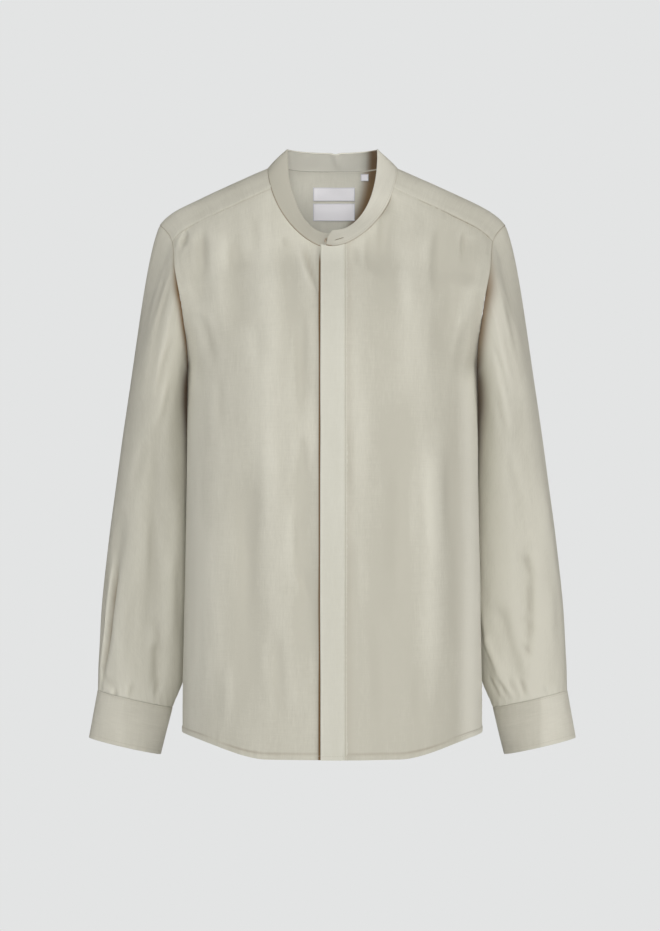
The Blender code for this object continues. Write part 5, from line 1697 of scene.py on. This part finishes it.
class SleeveForm:
    """The surface of a sleeve and its cuff, as in the solids."""

    def __init__(self, body: BodyForm, side: Side) -> None:
        """Reads the table of sections and the armhole's two halves.

        Args:
            body: The body's form.
            side: The sleeve's side.
        """
        self.body, self.side, self.sign = body, side, side.value
        c = self.columns = table_columns(SLEEVE_ROWS)
        self.runs = grid_distance(np.stack([c["x_mid"], c["y_mid"], c["z"]], axis=1), 0)
        self.length = float(self.runs[-1])
        self.front = body.armhole_table("front underarm")
        self.back = body.armhole_table("back underarm")

    def ring(self, turn: Array, run: Numbers, grow: Numbers = 0.0) -> Array:
        """A place on the lower sleeve, run millimetres below its first section.

        Each section is an oval of half_width by half_depth plus the folds, turned up at its
        outer side.

        Args:
            turn: From the outer side, over the front.
            run: Below the first section.
            grow: Added to both half widths.

        Returns:
            The places.
        """
        column = {name: smooth_through(self.runs, self.columns[name], run) for name in self.columns}
        tilt = np.radians(column["turn_up"])
        level = column["z"] + column["half_width"] * np.cos(turn) * np.sin(tilt)
        relief = fold_relief(SLEEVE_FOLDS[self.side], np.degrees(turn) % 360.0, level) + grow
        wide = (column["half_width"] + relief) * np.cos(turn)
        deep = (column["half_depth"] + relief) * np.sin(turn)
        x = self.sign * (column["x_mid"] + wide * np.cos(tilt))
        places = (x, column["y_mid"] - deep, column["z"] + wide * np.sin(tilt))
        return np.stack(np.broadcast_arrays(*places), axis=-1)

    def armhole(self, turn: Array) -> Array:
        """The sleeve's upper edge, on the armhole; turn is 0 at the shoulder.

        Args:
            turn: Turns round the sleeve.

        Returns:
            The places.
        """
        share = np.asarray(turn) % FULL_TURN / math.pi
        in_front = share <= 1
        share = np.where(in_front, share, 2 - share)
        girth = np.where(in_front, np.interp(share, *self.front), np.interp(share, *self.back))
        return self.body.point(np.full(girth.shape, float(self.sign)), girth)

    def start_way(self, turn: Array) -> Array:
        """The direction in which the sleeve leaves the armhole."""
        out, away, down = SLEEVE_START
        parts = (self.sign * out, -away * np.sin(turn), down)
        return unit(np.stack(np.broadcast_arrays(*parts, np.asarray(turn))[:3], axis=-1))

    def places(self, down: Array, turn: Array) -> Array:
        """down is 0 to 1 over the sleeve head, a cubic arc, and 1 to 2 down to the cuff.

        Args:
            down: From 0 to 2.
            turn: Turns round the sleeve.

        Returns:
            The places.
        """
        head = np.clip(down, 0.0, 1.0)[..., None]
        foot, first, second = self.armhole(turn), self.ring(turn, 0.0), self.ring(turn, 20.0)
        step = first - foot
        chord = np.linalg.norm(step, axis=-1, keepdims=True)
        leave = self.start_way(turn) * chord * LEAVE_LENGTH
        arrive = unit(second - first) * chord * ARRIVE_LENGTH
        cap = arc(foot, step, leave, arrive, head)
        lower = self.ring(turn, np.clip(down - 1.0, 0.0, 1.0) * self.length)
        return np.where(np.asarray(down)[..., None] < 1.0, cap, lower)

    def cuff(self, turned: Array, down: Array) -> Array:
        """The cuff: turned runs once round from the opening and on past the cuff's own start.

        Args:
            turned: Turns from the opening.
            down: From 0 to 1.

        Returns:
            The places.
        """
        turn, c = CUFF_OPEN_TURN + turned, self.columns
        x_mid = c["x_mid"][-1] + CUFF_LEAN_OUT * down
        z_mid = c["z"][-1] - SEAM - (CUFF_HEIGHT - CUFF_TAPER) * down * math.cos(CUFF_TILT)
        grow = CUFF_PROUD - CUFF_TAPER * down
        wide = (c["half_width"][-1] + grow) * np.cos(turn)
        deep = (c["half_depth"][-1] + grow) * np.sin(turn)
        x = self.sign * (x_mid + wide * math.cos(CUFF_TILT))
        places = (x, c["y_mid"][-1] - 4.0 * down - deep, z_mid + wide * math.sin(CUFF_TILT))
        return np.stack(np.broadcast_arrays(*places), axis=-1)

    def vent(self, up: Array, out: Array) -> Array:
        """The placket strip over the slit above the cuff, on the back of the sleeve."""
        run = self.length * (1 - VENT_SHARE * up) - 0.5 * (1 - up)
        turn = CUFF_OPEN_TURN + math.radians(14) + blend(-VENT_HALF_TURN, VENT_HALF_TURN, out)
        return self.ring(turn, run)


@dataclass
class SleeveSet:
    """A sleeve with its cuff, cuff placket and stitching; its cuff button is made with the other buttons."""

    body: BodyForm
    side: Side
    head_rows: int = 62
    rows: int = 148
    columns: int = 118
    cuff_columns: int = 168
    cuff_stitch: float = 2.2  # from the cuff's upper edge
    hem_stitch: float = 5.0  # from its lower edge
    vent_stitch: float = 2.0
    sleeve_flat: tuple[float, float] = (0.420, 0.600)
    cuff_flat: tuple[float, float] = (0.255, 0.0625)
    vent_flat: tuple[float, float] = (0.025, 0.140)

    def sleeve_grid(self, form: SleeveForm) -> ClothGrid:
        """The sleeve's grid, tucked under the armhole and gathered a little into the cuff, with painted light
        and shade.

        Args:
            form: The sleeve's form.

        Returns:
            The grid.
        """
        head = with_edges(self.head_rows, 170.0, last=False)
        lower = with_edges(self.rows, 400.0, first=False)
        down = np.concatenate([head, 1 + lower[1:]])
        turn = np.linspace(0, FULL_TURN, self.columns + 1)
        down_grid, turn_grid = np.meshgrid(down, turn, indexing="ij")
        grid = ClothGrid(form.places(down_grid, turn_grid), centre=self.middle(), closed=True)
        degrees, z = np.degrees(turn_grid), grid.points[..., 2]
        creases = 1.25 * crease_relief(SLEEVE_CREASES[self.side], degrees, z)
        grid.relief += creases
        inner = bell(degrees, 26.0, 196.0)
        grid.relief += 7.0 * inner * smooth_step((-235.0 - z) / 50.0) * smooth_step((z + 450.0) / 110.0)
        grid.roughen(71 if self.side is Side.LEFT else 83, 0.5)
        # painted shade beside the body and in deep creases
        grid.shade = np.maximum(self.valley(grid, degrees), deep_share(1.4 * creases))
        # painted light on fold ridges and painted shade in troughs, and more painted light over the front of
        # the left sleeve
        grid.light = 0.16 * fold_relief(SLEEVE_FOLDS[self.side], degrees, z)
        if self.side is Side.LEFT:
            grid.light += 1.1 * bell(degrees, 50.0, 105.0)
        grid.relief += puckers(grid.along, grid.across, 43, reach=12.0, height=0.4)
        grid.relief -= 0.7 * bell(grid.along, 1.4)
        grid.relief += puckers(grid.to_last_row, grid.across, 47, reach=16.0, height=0.55)
        grid.relief -= 0.15 * bell(grid.to_last_row, 1.0)
        grid.relief[:, -1] = grid.relief[:, 0]
        return grid

    def middle(self) -> Place:
        """A place inside the sleeve."""
        return (self.side.value * 230.0, 25.0, -380.0)

    def valley(self, grid: ClothGrid, degrees: Array) -> Array:
        """Shade beside the body: along the armhole's seam and down the inside of the arm.

        Args:
            grid: The sleeve's grid.
            degrees: Turn at each place.

        Returns:
            The shade at each place.
        """
        z = grid.points[..., 2]
        reach, spread, depth = (8.0, 13.0, 1.0) if self.side is Side.RIGHT else (17.0, 21.0, 0.85)
        lower = smooth_step((-92.0 - z) / 70.0)
        near_seam = bell(grid.along, 2.5 + reach * lower) * lower * (degrees < 215)
        past_elbow = smooth_step((z + 640.0) / 120.0) * (0.55 + 0.45 * smooth_step((z + 430.0) / 150.0))
        inside_arm = bell(degrees, spread, 170.0) * smooth_step((-215.0 - z) / 60.0) * past_elbow
        shade = depth * np.clip(np.maximum(near_seam, inside_arm), 0, 1)
        return np.maximum(shade, 0.5 * bell(grid.along, 1.1))

    def cuff_grid(self, form: SleeveForm) -> ClothGrid:
        """The cuff's grid: its last part lies over its first, with painted light and shade by side.

        Args:
            form: The sleeve's form.

        Returns:
            The grid.
        """
        turned = np.linspace(0, FULL_TURN + CUFF_OVERLAP_TURN, self.cuff_columns)
        down = with_edges(26, CUFF_HEIGHT)
        turned_grid, down_grid = np.meshgrid(turned, down, indexing="ij")
        sign = self.side.value
        points = form.cuff(turned_grid, down_grid)
        grid = ClothGrid(points, centre=(sign * 255.0, 28.0, -695.0), wall=FUSED_WALL)
        lift = CUFF_LIFT * smooth_step((turned_grid - FULL_TURN + CUFF_LIFT_TURN) / CUFF_LIFT_TURN)
        grid.relief = lift + 0.4 * soft_noise(grid.along / 45.0, grid.across / 40.0, 90 + sign)
        # painted shade on the inner side, and on the outer side painted light on the left cuff and painted
        # shade on the right one
        outer = smooth_step((sign * points[..., 0] - 257.0) / 8.0)
        grid.light = blend(-0.55, 0.35 * sign, outer)
        for edge in (grid.across, grid.to_last_column, grid.along, grid.to_last_row):
            grid.relief -= 0.35 * bell(edge, 0.6)
        for edge, level in ((grid.across, self.cuff_stitch), (grid.to_last_column, self.hem_stitch)):
            grid.relief -= 0.22 * bell(edge, 0.8, level)
            grid.relief += puckers(edge - level, grid.along, 51, reach=5.0, height=0.14)
        return grid

    def vent_grid(self, form: SleeveForm) -> ClothGrid:
        """The placket strip's grid.

        Args:
            form: The sleeve's form.

        Returns:
            The grid.
        """
        up, out = np.meshgrid(np.linspace(0, 1, 50), with_edges(10, 25.0), indexing="ij")
        grid = ClothGrid(form.vent(up, out), centre=self.middle())
        grid.relief += 1.5 + 0.15 * soft_noise(grid.along / 20.0, grid.across / 9.0, 95)
        grid.relief -= 0.5 * bell(np.minimum(grid.across, grid.to_last_column), 0.7)
        return grid

    def dress(self, shop: Workshop) -> None:
        """Builds the sleeve, the cuff, the placket strip and their stitching.

        Args:
            shop: Finishes and bookkeeping.
        """
        form, word = SleeveForm(self.body, self.side), self.side.name.lower()
        sleeve, cuff, vent = self.sleeve_grid(form), self.cuff_grid(form), self.vent_grid(form)
        finishes = shop.finishes
        tube = shop.finish(sleeve.build(f"linen_sleeve_{word}"), finishes.linen, f"sleeve_{word}")
        band = shop.finish(cuff.build(f"linen_cuff_{word}"), finishes.fused, f"cuff_{word}")
        strip = vent.build(f"linen_sleeve_placket_{word}")
        shop.finish(strip, finishes.linen, f"sleeve_placket_{word}")
        levels = (self.cuff_stitch, cuff.across[:, -1] - self.hem_stitch)
        cuff_stitches = shop.sew(f"cuff_{word}", *(cuff.seam(cuff.across, level, 1) for level in levels))
        levels = (self.vent_stitch, vent.across[:, -1] - self.vent_stitch)
        vent_stitches = shop.sew(f"placket_{word}", *(vent.seam(vent.across, level, 1) for level in levels))
        sleeve.area()


@dataclass
class NeckLabels:
    """Two blank satin labels and a blank size tab, sewn inside the back of the neck."""

    body: BodyForm
    left_x: float = -24.7
    right_x: float = 28.6
    upper_z: tuple[float, float] = (-19.0, -35.5)
    lower_z: tuple[float, float] = (-38.5, -60.0)
    tab_x: tuple[float, float] = (36.2, 46.0)
    tab_z: tuple[float, float] = (-2.5, -11.0)

    def grid(self, x_range: tuple[float, float], z_range: tuple[float, float], seed: int) -> ClothGrid:
        """A patch just inside the yoke, with folded ends, a slight wave and a darker rim, partly woven edge
        and partly painted shade.

        Args:
            x_range: Its two sides.
            z_range: Its top and bottom.
            seed: Seed of the wave.

        Returns:
            The grid.
        """
        width, height = x_range[1] - x_range[0], z_range[0] - z_range[1]
        down, out = np.meshgrid(with_edges(20, height), with_edges(36, width), indexing="ij")
        x, z = blend(*x_range, out), blend(*z_range, down)
        low, high = self.body.girth_of["behind ridge"], self.body.girth_of["back armhole turn"]
        girth = self.body.girth_where(2, x, z, low, high)
        grid = ClothGrid(self.body.point_at_x(x, girth), wall=SATIN_WALL)
        wave = 0.35 * soft_noise(grid.across / 16.0, grid.along / 11.0, seed)
        grid.relief = wave - 2.2 - 0.35 * bell(np.minimum(grid.across, grid.to_last_column), 1.0, 2.0)
        # a darker bluish rim: partly woven edge, partly painted shade
        grid.inner_shade = 0.75 * bell(grid.rim(), 0.7)
        return grid

    def dress(self, shop: Workshop) -> None:
        """Builds the three patches.

        Args:
            shop: Finishes and bookkeeping.
        """
        label_x = (self.left_x, self.right_x)
        patches = (
            ("label_upper", label_x, self.upper_z),
            ("label_lower", label_x, self.lower_z),
            ("size_tab", self.tab_x, self.tab_z),
        )
        for seed, (node, x_range, z_range) in enumerate(patches):
            grid = self.grid(x_range, z_range, 101 + seed)
            piece = shop.finish(grid.build(f"satin_{node}"), shop.finishes.satin, node)


@dataclass
class ButtonPress:
    """Buttons: round, dished, with a raised rim and four sewing holes."""

    rings: int = 22
    spokes: int = 48

    def build(self, name: str, node: str, shop: Workshop) -> bpy.types.Object:
        """Turns a button on the place and the axis of its plain solid.

        The top's height over the radius r is a dished floor, a rounded rim at 0.8 of the
        radius and a soft edge; four round wells sink through it for the thread.

        Args:
            name: The new piece's name.
            node: The solid that it stands for.
            shop: Finishes and bookkeeping.

        Returns:
            The piece.
        """
        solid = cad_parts[node]
        places = np.array([tuple(solid.matrix_world @ vertex.co) for vertex in solid.data.vertices]) / MM
        middle = places.mean(axis=0)
        ways = np.linalg.svd(places - middle, full_matrices=False)[2]
        axis = ways[2] * (-1 if np.dot(ways[2], middle * [1, 1, 0]) < 0 else 1)
        thickness = np.ptp((places - middle) @ axis)
        beside_axis = (places - middle) - ((places - middle) @ axis)[:, None] * axis
        radius = np.linalg.norm(beside_axis, axis=1).max()
        spin = np.arange(self.spokes) * FULL_TURN / self.spokes
        spin, rings = np.meshgrid(spin, np.linspace(0, 1, self.rings))
        flat_x, flat_y = rings * radius * np.cos(spin), rings * radius * np.sin(spin)
        rim = bell(rings, 0.13, 0.8)
        top = thickness * (0.28 + 0.2 * rim - 0.42 * smooth_step((rings - 0.88) / 0.12))
        for x_sign, y_sign in ((1, 1), (1, -1), (-1, 1), (-1, -1)):
            away = np.hypot(flat_x - 0.24 * x_sign * radius, flat_y - 0.24 * y_sign * radius)
            top -= thickness * 0.6 * (1 - smooth_step((away - 0.5) / 0.45))
        bottom = -thickness * (0.5 - 0.3 * smooth_step((rings - 0.8) / 0.2))
        across, beside = ways[0], np.cross(axis, ways[0])
        plane = middle + flat_x[..., None] * across + flat_y[..., None] * beside
        faces_at = [(plane + level[..., None] * axis).reshape(-1, 3) for level in (top, bottom)]
        number = np.arange(self.rings * self.spokes).reshape(self.rings, self.spokes)
        after = np.roll(number, -1, axis=1)
        sheet = np.stack([number[:-1], number[1:], after[1:], after[:-1]], axis=-1).reshape(-1, 4)
        edge = np.stack([number[-1], number[-1] + number.size, after[-1] + number.size, after[-1]], axis=-1)
        faces = np.concatenate([sheet, sheet[:, ::-1] + number.size, edge])
        piece = mesh_object(name, np.concatenate(faces_at), faces)
        return shop.finish(piece, shop.finishes.horn, node)

    def dress(self, shop: Workshop) -> None:
        """Builds the collar's, the cuffs' and the six hidden buttons.

        Args:
            shop: Finishes and bookkeeping.
        """
        for node in ("collar_button", "cuff_button_left", "cuff_button_right"):
            self.build(f"horn_{node}", node, shop)
        for number in range(1, FLY_BUTTONS + 1):
            self.build(f"horn_fly_button_{number}", f"fly_button_{number}", shop)


@dataclass(frozen=True)
class Softbox:
    """A soft light that faces the middle of the shirt or its own aim, square or in a narrow cone."""

    name: str
    place: Place
    size: float
    watts: float
    colour: Colour = (1.0, 1.0, 1.0)
    aim: Place = (0.0, 0.0, -0.37)
    cone: float = 0.0  # degrees across, or 0 for a square light


@dataclass(frozen=True)
class Studio:
    """The camera at the photograph's angle, the soft lights, the pale floor and backdrop."""

    eye: Place = (-0.0031, -4.2, -0.372)
    focal_pixels: float = 3360.0
    sensor: float = 36.0
    backdrop: Colour = (0.768, 0.776, 0.776)
    ambient: float = 0.15
    ambient_colour: Colour = (1.0, 0.93, 0.84)
    floor_z: float = -1.45
    floor_radius: float = 3.0
    lights: tuple[Softbox, ...] = (
        Softbox("front high", (0.1, -4.0, 1.3), 1.3, 61.0),
        Softbox("front low", (0.0, -4.1, -0.8), 1.3, 23.0),
        Softbox("right", (3.0, -2.6, 0.6), 1.4, 48.0, (1.0, 0.99, 0.97)),
        Softbox("left", (-3.1, -2.5, 0.5), 1.4, 35.0, (0.98, 0.99, 1.0)),
        Softbox("behind", (0.4, 3.2, 0.9), 2.6, 60.0),
        Softbox("neck", (0.0, -3.9, 0.1), 0.1, 205.0, aim=(0.0, 0.05, -0.04), cone=2.3),
    )

    def camera(self) -> None:
        """A level camera; its lens is the focal length in pixels over the photo's height."""
        lens = bpy.data.cameras.new("camera")
        lens.sensor_width = self.sensor
        lens.lens = self.focal_pixels / PHOTO_HEIGHT * self.sensor
        lens.clip_start, lens.clip_end = 0.1, 50.0
        camera = link_object("camera", lens)
        camera.location = self.eye
        camera.rotation_euler = (math.pi / 2, 0.0, 0.0)
        bpy.context.scene.camera = camera

    def light(self) -> None:
        """The soft lights, each turned to its aim."""
        for box in self.lights:
            lamp = bpy.data.lights.new(box.name, "SPOT" if box.cone else "AREA")
            lamp.energy, lamp.color = box.watts, box.colour
            if box.cone:
                lamp.spot_size, lamp.spot_blend = math.radians(box.cone), 1.0
                lamp.shadow_soft_size = box.size / 2
            else:
                lamp.shape, lamp.size = "SQUARE", box.size
            thing = link_object(box.name, lamp)
            thing.location = box.place
            way = Vector(box.aim) - Vector(box.place)
            thing.rotation_euler = way.to_track_quat("-Z", "Y").to_euler()

    def surroundings(self) -> None:
        """An even pale world: one strength for what lights the shirt, one for what shows."""
        world = bpy.data.worlds.new("studio")
        world.use_nodes = True
        bench = NodeBench(world.node_tree)
        world.node_tree.nodes.clear()
        lit = bench.add("Background", {"Color": (*self.ambient_colour, 1.0), "Strength": self.ambient})
        seen = bench.add("Background", {"Color": (*self.backdrop, 1.0), "Strength": 1.0})
        path = bench.add("LightPath").outputs["Is Camera Ray"]
        mixed = bench.add("MixShader", {0: path, 1: lit.outputs[0], 2: seen.outputs[0]})
        bench.add("OutputWorld", {"Surface": mixed.outputs[0]})
        bpy.context.scene.world = world
        bpy.context.scene.view_settings.view_transform = "Standard"

    def floor(self) -> None:
        """A round pale floor below the shirt, out of the front camera's view."""
        spin = np.linspace(0, FULL_TURN, 65)[:-1]
        mesh = bpy.data.meshes.new("floor")
        radius = self.floor_radius
        rim = [(radius * math.cos(turn), radius * math.sin(turn), self.floor_z) for turn in spin]
        mesh.from_pydata(rim, [], [list(range(len(rim)))])
        material, bench, shader = new_material("floor")
        tone = bench.plus(0.8, bench.noise(bench.add("TexCoord").outputs["Object"], 3.0), 0.05)
        colour = bench.add("CombineColor", {0: tone, 1: tone, 2: tone}).outputs[0]
        bench.fill(shader, {"Base Color": colour, "Roughness": 0.9})
        mesh.materials.append(material)
        link_object("floor", mesh)

    def set_up(self) -> None:
        """Everything that isn't the shirt."""
        self.camera()
        self.light()
        self.surroundings()
        self.floor()


def main() -> None:
    """Sets up the studio, then builds and dresses the shirt's sub-assemblies in order."""
    logging.basicConfig(level=logging.INFO, format="%(name)s: %(message)s")
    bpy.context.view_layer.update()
    Studio().set_up()
    shop, body = Workshop(Finishes()), BodyForm()
    FrontPanel(body, Side.RIGHT, FRONT_RIGHT_EDGE_X).dress(shop)
    FrontPanel(body, Side.LEFT, FRONT_LEFT_EDGE_X).dress(shop)
    FlyStrip(body).dress(shop)
    YokePanel(body).dress(shop)
    BackPanel(body).dress(shop)
    CollarBand(body).dress(shop)
    for side in Side:
        SleeveSet(body, side).dress(shop)
    NeckLabels(body).dress(shop)
    ButtonPress().dress(shop)


if __name__ == "__main__":
    main()
